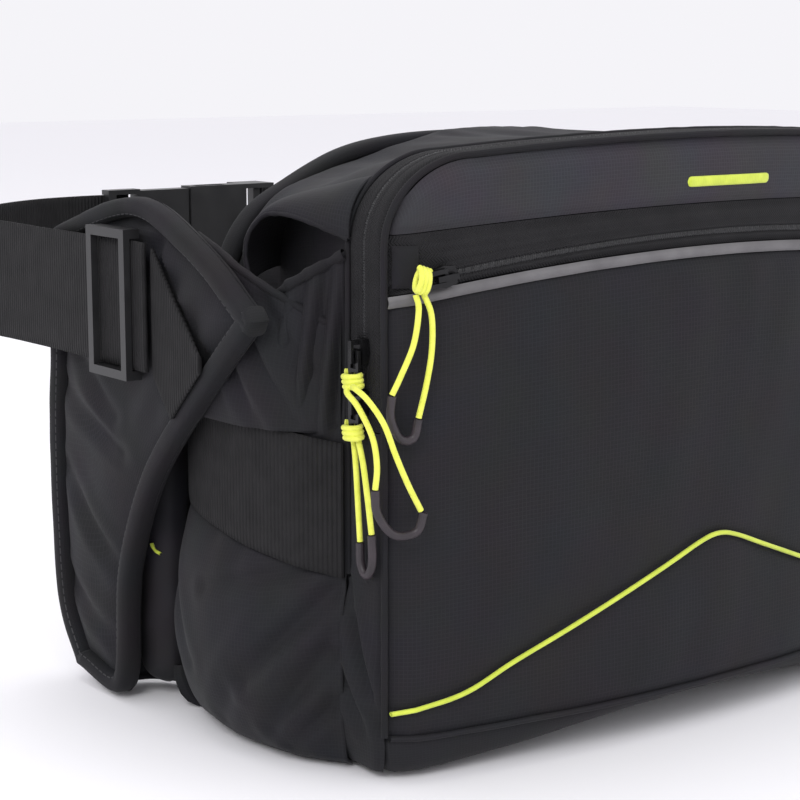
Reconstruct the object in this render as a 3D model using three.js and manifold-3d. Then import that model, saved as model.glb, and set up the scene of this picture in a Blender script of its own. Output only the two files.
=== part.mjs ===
// Waist pack: a zipped main compartment with a front pocket, open side pockets, padded
// hip wings and a buckled webbing belt. Millimetres, +Z up, front towards -Y, the origin
// under the middle of the base.
import * as THREE from 'three';
import { mergeVertices } from 'three/addons/utils/BufferGeometryUtils.js';
import Module from 'manifold-3d';

const wasm = await Module();
wasm.setup();

// Driving dimensions
const GAP = 0.3;              // clearance between sewn neighbours
const CLOTH = 2;              // shell fabric with its lining
const FRONT_HALF = 148;       // half width of the front outline
const FRONT_EDGE_Y = -70;     // where the front face meets the zip band
const FRONT_Y = -92;          // middle of the stuffed front face
const FRONT_RADIUS = 607;     // plan radius of the front face
const ZIP_BACK_Y = -50;       // rear edge of the main zip band
const BACK_Y = 56;            // inner face of the back wall
const BASE_TOP = 18;          // height of the base tray
const BAG_TOP = 230;          // top of the outline at its shoulders
const BAG_CROWN = 5;          // extra height at the middle of the top
const SHOULDER = 34;          // top corner radius
const BACK_TAPER = 0.16;      // how much narrower the gusset is at the back
const BACK_DROP = 14;         // how much lower its rear corners are
const WEB_WIDTH = 50;         // belt webbing
const WEB_THICK = 1.6;        // belt webbing
const CORD_DIAMETER = 2.2;    // zip pull cords
const BELT_MID_Z = 168;       // height of the buckle's centre line
const GARAGE_TOP = 131;       // lower ends of the main zip

const group = new THREE.Group();
const SIDES = [['left', -1], ['right', 1]];

// Finishes
function finish(color, roughness, metalness = 0) {
  return new THREE.MeshStandardMaterial({ color, roughness, metalness });
}
const fabric = () => finish(0x2e2d31, 0.75);
const panelFabric = () => finish(0x434247, 0.7);
const webbing = () => finish(0x262425, 0.85);
const zipTape = () => finish(0x252326, 0.8);
const plastic = () => finish(0x1c1c1e, 0.4);
const blackMetal = () => finish(0x151517, 0.25, 0.8);
const foam = () => finish(0x3a3a3d, 0.95);
const mesh3d = () => finish(0x2b2b2e, 0.9);
const limeCord = () => finish(0xe6e85a, 0.6);
const limePiping = () => finish(0xc9d84a, 0.6);
const reflective = () => finish(0x6b6769, 0.4);
const rubber = () => finish(0x2a2228, 0.5);

function add(name, geometry, material, parent = group) {
  const part = new THREE.Mesh(geometry, material);
  part.name = name;
  parent.add(part);
  return part;
}

// Solids from outlines: seen from above, from the front (x, z) and from the side (y, z)
function upright(shape, low, high) {
  const depth = high - low;
  const solid = new THREE.ExtrudeGeometry(shape, { depth, bevelEnabled: false, curveSegments: 5 });
  return solid.translate(0, 0, low);
}
function alongY(shape, near, far) {
  const depth = far - near;
  const solid = new THREE.ExtrudeGeometry(shape, { depth, bevelEnabled: false, curveSegments: 5 });
  return solid.rotateX(Math.PI / 2).translate(0, far, 0);
}
const SIDE_VIEW = new THREE.Matrix4().makeBasis(
  new THREE.Vector3(0, 1, 0),
  new THREE.Vector3(0, 0, 1),
  new THREE.Vector3(1, 0, 0),
);
function alongX(shape, low, high) {
  const depth = high - low;
  const solid = new THREE.ExtrudeGeometry(shape, { depth, bevelEnabled: false, curveSegments: 5 });
  return solid.applyMatrix4(SIDE_VIEW).translate(low, 0, 0);
}
function outlineOf(points) {
  return new THREE.Shape(points.map(([u, v]) => new THREE.Vector2(u, v)));
}

// Joining and cutting
function toSolid(geometry) {
  const plain = geometry.clone();
  plain.deleteAttribute('normal');
  plain.deleteAttribute('uv');
  const merged = mergeVertices(plain, 1e-4);
  return new wasm.Manifold(new wasm.Mesh({
    numProp: 3,
    vertProperties: Float32Array.from(merged.attributes.position.array),
    triVerts: Uint32Array.from(merged.index.array),
  }));
}
function toGeometry(solid) {
  const cut = solid.getMesh();
  const geometry = new THREE.BufferGeometry();
  geometry.setAttribute('position', new THREE.BufferAttribute(Float32Array.from(cut.vertProperties), 3));
  geometry.setIndex(new THREE.BufferAttribute(Uint32Array.from(cut.triVerts), 1));
  geometry.computeVertexNormals();
  return geometry;
}
function common(first, second) {
  return toGeometry(toSolid(first).intersect(toSolid(second)));
}
function without(first, ...cutters) {
  let solid = toSolid(first);
  for (const cutter of cutters) solid = solid.subtract(toSolid(cutter));
  return toGeometry(solid);
}
function together(first, ...others) {
  let solid = toSolid(first);
  for (const other of others) solid = solid.add(toSolid(other));
  return toGeometry(solid);
}

// A strip of even thickness along a path seen from above; side turns its normal outwards
function strip(points, inner, outer, side) {
  const normals = points.map((point, i) => {
    const before = points[Math.max(i - 1, 0)];
    const after = points[Math.min(i + 1, points.length - 1)];
    const along = after.clone().sub(before).normalize();
    return new THREE.Vector2(side * along.y, -side * along.x);
  });
  const offset = (distance) => points.map((p, i) => p.clone().addScaledVector(normals[i], distance));
  return new THREE.Shape([...offset(inner), ...offset(outer).reverse()]);
}
function smooth(points, steps) {
  const knots = points.map(([x, y]) => new THREE.Vector2(x, y));
  return new THREE.SplineCurve(knots).getSpacedPoints(steps);
}

// Front outline (x, z): straight sides, round shoulders and a slightly crowned top
function frontOutline(inset, low) {
  const half = FRONT_HALF - inset;
  const top = BAG_TOP - inset;
  const round = SHOULDER - inset;
  const shape = new THREE.Shape();
  shape.moveTo(-half, low);
  shape.lineTo(half, low);
  shape.lineTo(half, top - round);
  shape.absarc(half - round, top - round, round, 0, Math.PI / 2, false);
  shape.quadraticCurveTo(0, top + 2 * BAG_CROWN, -(half - round), top);
  shape.absarc(-(half - round), top - round, round, Math.PI / 2, Math.PI, false);
  shape.lineTo(-half, low);
  return shape;
}
// An arch of even thickness along that outline, open at its foot
function arch(inset, thickness, low, near, far) {
  const outer = alongY(frontOutline(inset, low), near, far);
  return without(outer, alongY(frontOutline(inset + thickness, low - 1), near - 1, far + 1));
}
// The band leans forward at its middle, to follow the stuffed front face
function followFront(geometry, backY) {
  const place = geometry.attributes.position;
  for (let i = 0; i < place.count; i += 1) {
    const across = Math.min(Math.abs(place.getX(i)) / (FRONT_HALF - CLOTH), 1);
    const bulge = (FRONT_EDGE_Y - FRONT_Y - 2) * (1 - across * across);
    const share = backY > ZIP_BACK_Y ? (backY - place.getY(i)) / (backY - ZIP_BACK_Y) : 1;
    place.setY(i, place.getY(i) - bulge * Math.min(share, 1));
  }
  return geometry;
}
function taperBack(geometry) {
  const place = geometry.attributes.position;
  for (let i = 0; i < place.count; i += 1) {
    const share = Math.max((place.getY(i) - ZIP_BACK_Y) / (BACK_Y - ZIP_BACK_Y), 0);
    const corner = Math.min(Math.max((Math.abs(place.getX(i)) - 60) / 60, 0), 1);
    const height = Math.min(Math.max((place.getZ(i) - 150) / 70, 0), 1);
    place.setZ(i, place.getZ(i) - BACK_DROP * share * corner * height);
    place.setX(i, place.getX(i) * (1 - BACK_TAPER * share));
  }
  return geometry;
}

// Front face seen from above
function frontY(x) {
  return FRONT_Y + (x * x) / (2 * FRONT_RADIUS);
}
const FRONT_PATH = [];
const FRONT_STEPS = 16;
for (let i = 0; i <= FRONT_STEPS; i += 1) {
  const x = -125 + (250 * i) / FRONT_STEPS;
  FRONT_PATH.push(new THREE.Vector2(x, frontY(x)));
}
FRONT_PATH.unshift(new THREE.Vector2(-145.7, -71), new THREE.Vector2(-138, -76));
FRONT_PATH.push(new THREE.Vector2(138, -76), new THREE.Vector2(145.7, -71));

// A panel of the front face between two heights, each a middle height with a drop at the edge
function arched(mid, drop) {
  return (x) => mid - drop * (x / FRONT_HALF) ** 2;
}
function frontPanel(lower, upper, inner = -CLOTH, outer = 0) {
  const shape = new THREE.Shape();
  const half = FRONT_HALF - CLOTH - GAP;
  const steps = 14;
  for (let i = 0; i <= steps; i += 1) {
    const x = -half + (2 * half * i) / steps;
    if (i === 0) shape.moveTo(x, lower(x));
    else shape.lineTo(x, lower(x));
  }
  for (let i = steps; i >= 0; i -= 1) {
    const x = -half + (2 * half * i) / steps;
    shape.lineTo(x, upper(x));
  }
  const face = upright(strip(FRONT_PATH, inner, outer, 1), BASE_TOP - 5, BAG_TOP + 20);
  const inside = common(face, alongY(frontOutline(CLOTH + GAP, BASE_TOP - 6), -110, -60));
  return common(inside, alongY(shape, -120, -50));
}
const flat = (height) => () => height;
const REFLECT_LOW = arched(187.5, 12.5);
const REFLECT_HEIGHT = 4.5;
const ZIP_HIGH = arched(208, 7);
const raise = (line, by) => (x) => line(x) + by;

add('front_panel', frontPanel(flat(BASE_TOP + GAP), REFLECT_LOW), fabric());
const REFLECT_HIGH = raise(REFLECT_LOW, REFLECT_HEIGHT);
add('reflective_strip', frontPanel(raise(REFLECT_LOW, GAP), REFLECT_HIGH), reflective());
const TAPE_LOW = raise(REFLECT_HIGH, GAP);
add('pocket_zip_tape', frontPanel(TAPE_LOW, ZIP_HIGH), zipTape());
add('top_front_panel', frontPanel(raise(ZIP_HIGH, GAP), flat(BAG_TOP + 20)), panelFabric());
// Zip coils lie on the inner side of their tapes
const POCKET_ZIP_MID = 197;
const POCKET_ZIP_TILT = 0.75;
const pocketZip = (x) => POCKET_ZIP_MID - POCKET_ZIP_TILT * (frontY(x) - FRONT_Y);
const COIL_THICK = 1.6;
const COIL_OUTER = -CLOTH - GAP;
const COIL_LOW = raise(pocketZip, -2.5);
const COIL_HIGH = raise(pocketZip, 2.5);
add('pocket_zip_coil', frontPanel(COIL_LOW, COIL_HIGH, COIL_OUTER - COIL_THICK, COIL_OUTER), plastic());

function tube(points, radius, sides, steps) {
  const section = new THREE.Shape();
  for (let i = 0; i < sides; i += 1) {
    const angle = (2 * Math.PI * i) / sides;
    const [u, v] = [radius * Math.cos(angle), radius * Math.sin(angle)];
    if (i === 0) section.moveTo(u, v);
    else section.lineTo(u, v);
  }
  const extrudePath = new THREE.CatmullRomCurve3(points.map((p) => new THREE.Vector3(...p)));
  return new THREE.ExtrudeGeometry(section, { steps, extrudePath, bevelEnabled: false });
}

// Lime piping rises from the lower corners of the front panel to a peak in its middle
const PIPING_RADIUS = 0.9;
const PIPING = [[-138, 29], [-118, 33], [-98, 42], [-72, 52], [-28, 69], [-10, 76], [0, 78]];
const pipingRoute = [...PIPING, ...PIPING.slice(0, -1).reverse().map(([x, z]) => [-x, z])]
  .map(([x, z]) => [x, frontY(x) - 1.5, z]);
add('lime_piping', tube(pipingRoute, PIPING_RADIUS, 8, 36), limePiping());

// Fabric tabs close the two ends of the pocket zip
for (const [side, s] of SIDES) {
  const tab = new THREE.BoxGeometry(8, 1.4, 15);
  tab.rotateZ(s * 0.3).translate(s * 140.5, -78.4, 190.5);
  add(`pocket_zip_end_${side}`, tab, fabric());
}

// Main zip band, its coil, and the garages that cover its lower ends
const zipBand = arch(0, CLOTH, GARAGE_TOP + GAP, FRONT_EDGE_Y + GAP, ZIP_BACK_Y);
add('main_zip_tape', followFront(zipBand, ZIP_BACK_Y), zipTape());
const coilRing = arch(CLOTH + GAP, COIL_THICK, GARAGE_TOP + GAP, -63, -57);
add('main_zip_coil', followFront(coilRing, ZIP_BACK_Y), plastic());
for (const [side, s] of SIDES) {
  const height = GARAGE_TOP - BASE_TOP - GAP;
  const depth = ZIP_BACK_Y - FRONT_EDGE_Y - GAP;
  const garage = new THREE.BoxGeometry(CLOTH, depth, height);
  garage.translate(s * (FRONT_HALF - CLOTH / 2), ZIP_BACK_Y - depth / 2, BASE_TOP + GAP + height / 2);
  add(`zip_garage_${side}`, garage, fabric());
}

// Gusset: the top and sides of the main compartment, narrower at the back
const gusset = arch(0, CLOTH, BASE_TOP + GAP, ZIP_BACK_Y + GAP, BACK_Y - GAP);
add('main_gusset', followFront(taperBack(gusset), BACK_Y), fabric());

// Divider between the main compartment and the front pocket
add('divider_wall', alongY(frontOutline(CLOTH + 2.5, BASE_TOP + GAP), -56, -54.8), fabric());

// Base tray
function basePlan(inset) {
  const sides = [[153, -48], [157, -22], [158.5, 5], [155, 35], [144, 55.7]];
  const front = FRONT_PATH.map((p) => [p.x, p.y]);
  const ring = [...front, ...sides, ...sides.map(([x, y]) => [-x, y]).reverse()];
  const middleY = -18;
  const [shrinkX, shrinkY] = [1 - inset / 150, 1 - inset / 72];
  return outlineOf(ring.map(([x, y]) => [x * shrinkX, middleY + (y - middleY) * shrinkY]));
}
const BASE_THICK = 3;
add('base_panel', without(
  upright(basePlan(0), 0, BASE_TOP - GAP),
  upright(basePlan(BASE_THICK), BASE_THICK, BASE_TOP + 1),
), fabric());

// Back panel: lining, stiffener and foam with two raised mesh pads
function backOutline(inset) {
  const shape = new THREE.Shape();
  const half = 141 - inset;
  shape.moveTo(-half + 12, 3 + inset);
  shape.lineTo(half - 12, 3 + inset);
  shape.quadraticCurveTo(half, 3 + inset, half, 16 + inset);
  shape.lineTo(half, 120);
  shape.quadraticCurveTo(half - 4, 185, 100 - inset / 2, 213 - inset);
  shape.quadraticCurveTo(60, 231 - inset, 0, 231 - inset);
  shape.quadraticCurveTo(-60, 231 - inset, -100 + inset / 2, 213 - inset);
  shape.quadraticCurveTo(-half + 4, 185, -half, 120);
  shape.lineTo(-half, 16 + inset);
  shape.quadraticCurveTo(-half, 3 + inset, -half + 12, 3 + inset);
  return shape;
}
const BACK_LAYERS = [
  ['back_wall', 56, 57.2, fabric()],
  ['back_stiffener', 57.5, 59, plastic()],
  ['back_foam', 59.3, 65.6, foam()],
];
const BINDING_WIDTH = 6;
const BACK_FACE_Y = 66;
for (const [name, near, far, material] of BACK_LAYERS) {
  add(name, alongY(backOutline(BINDING_WIDTH + GAP), near, far), material);
}
add('back_binding', without(
  alongY(backOutline(0), BACK_Y, BACK_FACE_Y),
  alongY(backOutline(BINDING_WIDTH), BACK_Y - 1, BACK_FACE_Y + 1),
), fabric());
function roundedBox(width, height, corner) {
  const shape = new THREE.Shape();
  const [w, h] = [width / 2, height / 2];
  shape.absarc(w - corner, h - corner, corner, 0, Math.PI / 2, false);
  shape.absarc(-w + corner, h - corner, corner, Math.PI / 2, Math.PI, false);
  shape.absarc(-w + corner, -h + corner, corner, Math.PI, 1.5 * Math.PI, false);
  shape.absarc(w - corner, -h + corner, corner, 1.5 * Math.PI, 2 * Math.PI, false);
  return shape;
}
const PAD = { width: 104, height: 158, corner: 18, near: 65.9, far: 74, x: 64, z: 104 };
for (const [side, s] of SIDES) {
  const pad = alongY(roundedBox(PAD.width, PAD.height, PAD.corner), PAD.near, PAD.far);
  add(`back_pad_${side}`, pad.translate(s * PAD.x, 0, PAD.z), mesh3d());
}

// Padded rolls along the sides of the back panel
const ROLL = { radius: 11, x: 153.6, y: 68, low: 4, high: 152 };
const rollProfile = [
  [0, ROLL.low], [7, ROLL.low + 2], [ROLL.radius, ROLL.low + 10],
  [ROLL.radius, ROLL.high - 12], [7, ROLL.high - 3], [0, ROLL.high],
].map(([r, z]) => new THREE.Vector2(r, z));
for (const [side, s] of SIDES) {
  const roll = new THREE.LatheGeometry(rollProfile, 12).rotateX(Math.PI / 2);
  add(`back_roll_${side}`, roll.translate(s * ROLL.x, ROLL.y, 0), fabric());
}

// Open side pockets: fabric tubes with a floor, cut off by a slanting mouth
const POCKET_MOUTH = [[-52, 17], [57, 17], [57, 158], [-20, 176], [-52, 197]];
const POCKET_FLOOR = 20.5;
function pocketPath(s) {
  const plan = [[149.2, -49.6], [160, -30], [165.5, 3], [161.5, 34], [149, 55.4]];
  return smooth(plan.map(([x, y]) => [s * x, y]), 12);
}
function shifted(points, distance, s) {
  const band = strip(points, distance, distance + 1, s).getPoints();
  return band.slice(0, points.length);
}
for (const [side, s] of SIDES) {
  const outer = pocketPath(s);
  const closing = [[s * 125.6, 55.4], [s * 148.8, -49.6]].map(([x, y]) => new THREE.Vector2(x, y));
  const body = upright(new THREE.Shape([...outer, ...closing]), BASE_TOP + GAP, 216);
  const inner = shifted(outer, -CLOTH, s).filter((p) => p.y > -38 && p.y < 52);
  const back = [[s * 128.4, 53], [s * 149.2, -40]].map(([x, y]) => new THREE.Vector2(x, y));
  const hollow = upright(new THREE.Shape([...inner, ...back]), POCKET_FLOOR, 220);
  const region = alongX(outlineOf(POCKET_MOUTH), -200, 200);
  const pocket = toSolid(body).subtract(toSolid(hollow)).intersect(toSolid(region));
  add(`side_pocket_${side}`, toGeometry(pocket), fabric());

  const strap = upright(strip(outer, 0.4, 0.4 + WEB_THICK, s), 60, 160);
  const slant = outlineOf([[-49.2, 75], [46, 90], [46, 90 + WEB_WIDTH], [-49.2, 75 + WEB_WIDTH]]);
  add(`side_webbing_${side}`, common(strap, alongX(slant, -200, 200)), webbing());
}

// Wings: lining, foam and face inside a bound edge; the belt webbing is sewn on the face
const WING_EDGE = [
  [-36, 170], [-8, 189], [24, 203], [50, 209], [76, 206], [104, 198], [124, 192],
  [126, 143], [130, 110], [131, 70], [126, 30], [110, 6], [72, 5],
  [64, 56], [42, 98], [5, 133],
];
function insetLoop(loop, distance) {
  return loop.map(([u, v], i) => {
    const [u0, v0] = loop[(i + loop.length - 1) % loop.length];
    const [u1, v1] = loop[(i + 1) % loop.length];
    const before = new THREE.Vector2(u - u0, v - v0).normalize();
    const after = new THREE.Vector2(u1 - u, v1 - v).normalize();
    const mitre = new THREE.Vector2(before.y + after.y, -before.x - after.x).normalize();
    const stretch = distance / Math.max(mitre.dot(new THREE.Vector2(before.y, -before.x)), 0.5);
    return [u + mitre.x * stretch, v + mitre.y * stretch];
  });
}
const WING_PATH = [[170.5, -40], [171.2, -15], [170.6, 15], [168.7, 40], [168, 60], [168, 92], [168, 127]];
const WING_BINDING = 8;
const WING_LAYERS = [
  ['wing_lining', 0, 1.2, mesh3d()],
  ['wing_foam', 1.5, 8.5, foam()],
  ['wing_face', 8.8, 10, fabric()],
];
const WEB_OUTER = 10.4;
for (const [side, s] of SIDES) {
  const path = smooth(WING_PATH.map(([x, y]) => [s * x, y]), 14);
  const cutOut = (inner, outer, loop) => common(
    upright(strip(path, inner, outer, s), -5, 215),
    alongX(outlineOf(loop), -200, 200),
  );
  const padLoop = insetLoop(WING_EDGE, WING_BINDING + GAP);
  for (const [name, inner, outer, material] of WING_LAYERS) {
    add(`${name}_${side}`, cutOut(inner, outer, padLoop), material);
  }
  add(`wing_binding_${side}`, without(
    cutOut(0, 10, WING_EDGE),
    alongX(outlineOf(insetLoop(WING_EDGE, WING_BINDING)), -200, 200),
  ), fabric());
  const sewn = [[-30, 78], [32, 140], [32, 140 + WEB_WIDTH], [-30, 78 + WEB_WIDTH]];
  const web = toSolid(cutOut(WEB_OUTER, WEB_OUTER + WEB_THICK, padLoop))
    .intersect(toSolid(alongX(outlineOf(sewn), -200, 200)));
  add(`wing_webbing_${side}`, toGeometry(web), webbing());
}

// Slide adjusters on the belt webbing: two outer bars outside it, one bar behind it
const ADJUSTER_Y = 60;
const BELT_OFFSET = WEB_OUTER + WEB_THICK + 0.4;
const ADJUSTER_X = 168 + BELT_OFFSET;
function block(x0, x1, y0, y1, z0, z1) {
  const box = new THREE.BoxGeometry(x1 - x0, y1 - y0, z1 - z0);
  return box.translate((x0 + x1) / 2, (y0 + y1) / 2, (z0 + z1) / 2);
}
const BELT_LOW = BELT_MID_Z - WEB_WIDTH / 2;
const BELT_HIGH = BELT_MID_Z + WEB_WIDTH / 2;
for (const [side, s] of SIDES) {
  const span = (x0, x1, y0, y1, z0, z1) => {
    const [a, b] = [s * x0, s * x1];
    return block(Math.min(a, b), Math.max(a, b), y0, y1, z0, z1);
  };
  const outerX = [ADJUSTER_X + 2.6, ADJUSTER_X + 5.4];
  const [low, high] = [BELT_LOW - 4.4, BELT_HIGH + 4.4];
  const rails = [
    span(ADJUSTER_X - 1.6, outerX[1], ADJUSTER_Y - 15, ADJUSTER_Y + 15, low, low + 3.6),
    span(ADJUSTER_X - 1.6, outerX[1], ADJUSTER_Y - 15, ADJUSTER_Y + 15, high - 3.6, high),
  ];
  const bars = [
    span(...outerX, ADJUSTER_Y - 15, ADJUSTER_Y - 11, low + 1, high - 1),
    span(...outerX, ADJUSTER_Y + 11, ADJUSTER_Y + 15, low + 1, high - 1),
    span(ADJUSTER_X - 1.6, ADJUSTER_X - 0.5, ADJUSTER_Y - 3, ADJUSTER_Y + 3, low + 1, high - 1),
  ];
  add(`adjuster_${side}`, together(rails[0], rails[1], ...bars), plastic());
}

// Belt webbings run from the wings round to the buckle behind the wearer
const LEFT_BELT = [[169.3, 34], [168.5, 46], [168, 60], [168, 100], [168, 150], [168, 178],
  [158, 208], [137, 230], [112, 245], [92, 250.5], [60, 251.5]];
const RIGHT_BELT = [[169.3, 34], [168.5, 46], [168, 60], [168, 100], [168, 150], [168, 178],
  [160, 206], [142, 230], [118, 248], [96, 255], [80, 256.2], [22, 256.2]];
const BELT_STEPS = 36;
for (const [side, s] of SIDES) {
  const route = side === 'left' ? LEFT_BELT : RIGHT_BELT;
  const path = smooth(route.map(([x, y]) => [s * x, y]), BELT_STEPS);
  const band = strip(path, BELT_OFFSET, BELT_OFFSET + WEB_THICK, s);
  add(`belt_webbing_${side}`, upright(band, BELT_LOW, BELT_HIGH), webbing());
}

// Side-release buckle: the socket slides on the right webbing, the plug is on the left one
const SOCKET = { left: -27.7, right: 6, near: 256.6, far: 266.6, half: 28 };
const socketBody = block(SOCKET.left, SOCKET.right, SOCKET.near, SOCKET.far,
  BELT_MID_Z - SOCKET.half, BELT_MID_Z + SOCKET.half);
const socketRoom = block(SOCKET.left - 1, SOCKET.right - 3, SOCKET.near + 2, SOCKET.far - 2,
  BELT_MID_Z - SOCKET.half + 2.6, BELT_MID_Z + SOCKET.half - 2.6);
const socketWindows = block(-23, -5, SOCKET.near + 2, SOCKET.far - 2,
  BELT_MID_Z - SOCKET.half - 1, BELT_MID_Z + SOCKET.half + 1);
const railTop = block(SOCKET.right - 1, 23, SOCKET.near, 274.4, BELT_HIGH + 0.6, BELT_HIGH + 3);
const railBottom = block(SOCKET.right - 1, 23, SOCKET.near, 274.4, BELT_LOW - 3, BELT_LOW - 0.6);
const outerBar = block(18, 23, 271.4, 274.4, BELT_LOW - 1, BELT_HIGH + 1);
const innerBar = block(13, 17, 261, 264.5, BELT_LOW - 1, BELT_HIGH + 1);
const socket = toSolid(socketBody).subtract(toSolid(socketRoom)).subtract(toSolid(socketWindows))
  .add(toSolid(railTop)).add(toSolid(railBottom)).add(toSolid(outerBar)).add(toSolid(innerBar));
add('buckle_socket', toGeometry(socket), plastic());

const PLUG = { left: -75, right: -28.6 };
const plugBody = block(-58, PLUG.right, 257.4, 266, BELT_MID_Z - 27, BELT_MID_Z + 27);
const plugRails = [-1, 1].map((u) => {
  const edge = BELT_MID_Z + u * 26.6;
  return block(PLUG.left, -57, 257.4, 264.5, edge - 1.2, edge + 1.2);
});
const plugBar = block(PLUG.left, -70.6, 257.4, 262, BELT_MID_Z - 26, BELT_MID_Z + 26);
const plugTongue = block(-29, -7, 259.6, 263.6, BELT_MID_Z - 4, BELT_MID_Z + 4);
add('buckle_plug', together(plugBody, plugRails[0], plugRails[1], plugBar, plugTongue), plastic());

const PRONG = [[-27.9, 8], [-27.9, 15], [-23, 19], [-20, 24.6], [-14, 24.4], [-8, 19], [-5.5, 13],
  [-9, 12.5], [-15, 16], [-20, 13]];
for (const [level, u] of [['upper', 1], ['lower', -1]]) {
  const outline = outlineOf(PRONG.map(([x, z]) => [x, BELT_MID_Z + u * z]));
  add(`buckle_prong_${level}`, alongY(outline, 259.2, 264), plastic());
}

// Zip sliders: a body with a bridge, and a pull tab that hangs on a crossbar under the bridge.
// Made with the zip along +Z and the outside towards +X, then turned into place.
const SLIDER_DEPTH = 2.8;
const PULL_LENGTH = 11;
const PULL_THICK = 1.3;
const PULL_X = SLIDER_DEPTH + 0.5;
function sliderSolid() {
  const bodyShape = outlineOf([[-4, 0], [-3.2, 4.4], [-1.2, 4.75], [1.2, 4.75], [3.2, 4.4], [4, 0],
    [3, -4.75], [-3, -4.75]]);
  const body = alongX(bodyShape, 0, SLIDER_DEPTH);
  const posts = [-3.3, 3.3].map((z) => block(SLIDER_DEPTH - 0.5, 5.9, -1, 1, z - 0.8, z + 0.8));
  const bar = block(4.9, 6.1, -1, 1, -4.1, 4.1);
  return together(body, posts[0], posts[1], bar);
}
function pullSolid() {
  const plate = outlineOf([[-3.1, 0.6], [3.1, 0.6], [3.1, -6], [2.6, -PULL_LENGTH + 1],
    [1.6, -PULL_LENGTH], [-1.6, -PULL_LENGTH], [-2.6, -PULL_LENGTH + 1], [-3.1, -6]]);
  const slot = outlineOf([[-1.5, -0.7], [-1.5, -6], [1.5, -6], [1.5, -0.7]]);
  const eye = outlineOf([[-1, -7.4], [-1, -9.6], [1, -9.6], [1, -7.4]]);
  const tab = alongX(plate, PULL_X, PULL_X + PULL_THICK);
  const across = [PULL_X - 1, PULL_X + PULL_THICK + 1];
  return without(tab, alongX(slot, ...across), alongX(eye, ...across));
}
const MAIN_SLIDER_Y = -60;
const UPPER_SLIDER_Z = 160;
const LOWER_SLIDER_Z = 141.5;
const POCKET_SLIDER_X = -128;
const slope = POCKET_SLIDER_X / FRONT_RADIUS;
const SLIDERS = [
  ['main_upper', [-FRONT_HALF - 0.4, MAIN_SLIDER_Y, UPPER_SLIDER_Z], [0, 0, Math.PI]],
  ['main_lower', [-FRONT_HALF - 0.4, MAIN_SLIDER_Y, LOWER_SLIDER_Z], [0, 0, Math.PI]],
  ['pocket', [POCKET_SLIDER_X, frontY(POCKET_SLIDER_X) - 0.5, pocketZip(POCKET_SLIDER_X)], null],
];
for (const [name, place, turn] of SLIDERS) {
  const carrier = new THREE.Group();
  carrier.position.set(...place);
  if (turn) {
    carrier.rotation.set(...turn);
  } else {
    // outside towards -Y, zip along +X, following the face's curve and the zip's rise
    const along = new THREE.Vector3(1, slope, -slope * POCKET_ZIP_TILT).normalize();
    const out = new THREE.Vector3(slope, -1, 0).normalize();
    const acrossZip = new THREE.Vector3().crossVectors(along, out).normalize();
    const outward = new THREE.Vector3().crossVectors(acrossZip, along);
    carrier.setRotationFromMatrix(new THREE.Matrix4().makeBasis(outward, acrossZip, along));
  }
  group.add(carrier);
  add(`${name}_slider`, sliderSolid(), blackMetal(), carrier);
  add(`${name}_pull`, pullSolid(), blackMetal(), carrier);
}

// Lime pull cords: two strands from each pull tab into a rubber end loop
const CORD_RADIUS = CORD_DIAMETER / 2;
const LOOP_RADIUS = 1.6;
const CORDS = {
  pocket: {
    a: [[-140.6, -80.4, 181.4], [-140, -81.4, 176], [-141.6, -80.6, 164], [-146, -79, 153],
      [-149, -77.8, 146.4]],
    b: [[-137.6, -81, 181.6], [-135, -82.2, 174], [-134.6, -82, 162], [-136.4, -81.4, 150],
      [-139.4, -80.6, 137.6]],
    loop: [[-149, -77.8, 146], [-149.4, -77.6, 138], [-146, -78.6, 130.6], [-141.2, -80, 130.6],
      [-139.5, -80.6, 137.2]],
  },
  upper: {
    a: [[-154.2, -59.2, 147.4], [-157.4, -62.5, 146], [-158, -70, 142], [-156.6, -76.6, 132],
      [-156, -78.4, 122], [-156.5, -78, 113.6]],
    b: [[-154.2, -62, 147.6], [-157.2, -66.4, 148.4], [-157, -74.4, 145], [-154.4, -80.4, 137],
      [-151, -82.6, 126], [-146.4, -83.8, 115], [-141.2, -84.4, 105.2]],
    loop: [[-156.5, -78, 113.2], [-156, -78.6, 105], [-150.4, -80.6, 97], [-142.4, -83.4, 97.4],
      [-140.2, -84.7, 104.4]],
  },
  lower: {
    a: [[-152.2, -58.8, 129.6], [-152.6, -60.8, 121], [-152.4, -61.8, 107], [-152, -62.6, 91.2]],
    b: [[-152.2, -61.6, 129.4], [-153, -65.8, 121], [-152.8, -68.4, 108], [-152, -69.6, 95.2]],
    loop: [[-152, -62.6, 90.8], [-152, -63, 83], [-152, -66.4, 79.4], [-152, -69.8, 84],
      [-152, -69.7, 94.8]],
  },
};
for (const [name, cord] of Object.entries(CORDS)) {
  add(`${name}_cord_a`, tube(cord.a, CORD_RADIUS, 8, 12), limeCord());
  add(`${name}_cord_b`, tube(cord.b, CORD_RADIUS, 8, 14), limeCord());
  add(`${name}_cord_loop`, tube(cord.loop, LOOP_RADIUS, 8, 12), rubber());
}

export default group;
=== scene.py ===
# A waist pack: zipped bag, side pockets, hip wings and a buckled belt, built piece by piece
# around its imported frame. The frame is in metres; cloth is laid out in millimetres.
import math
import bpy
import bmesh
import numpy as np
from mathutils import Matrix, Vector, noise


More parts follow.
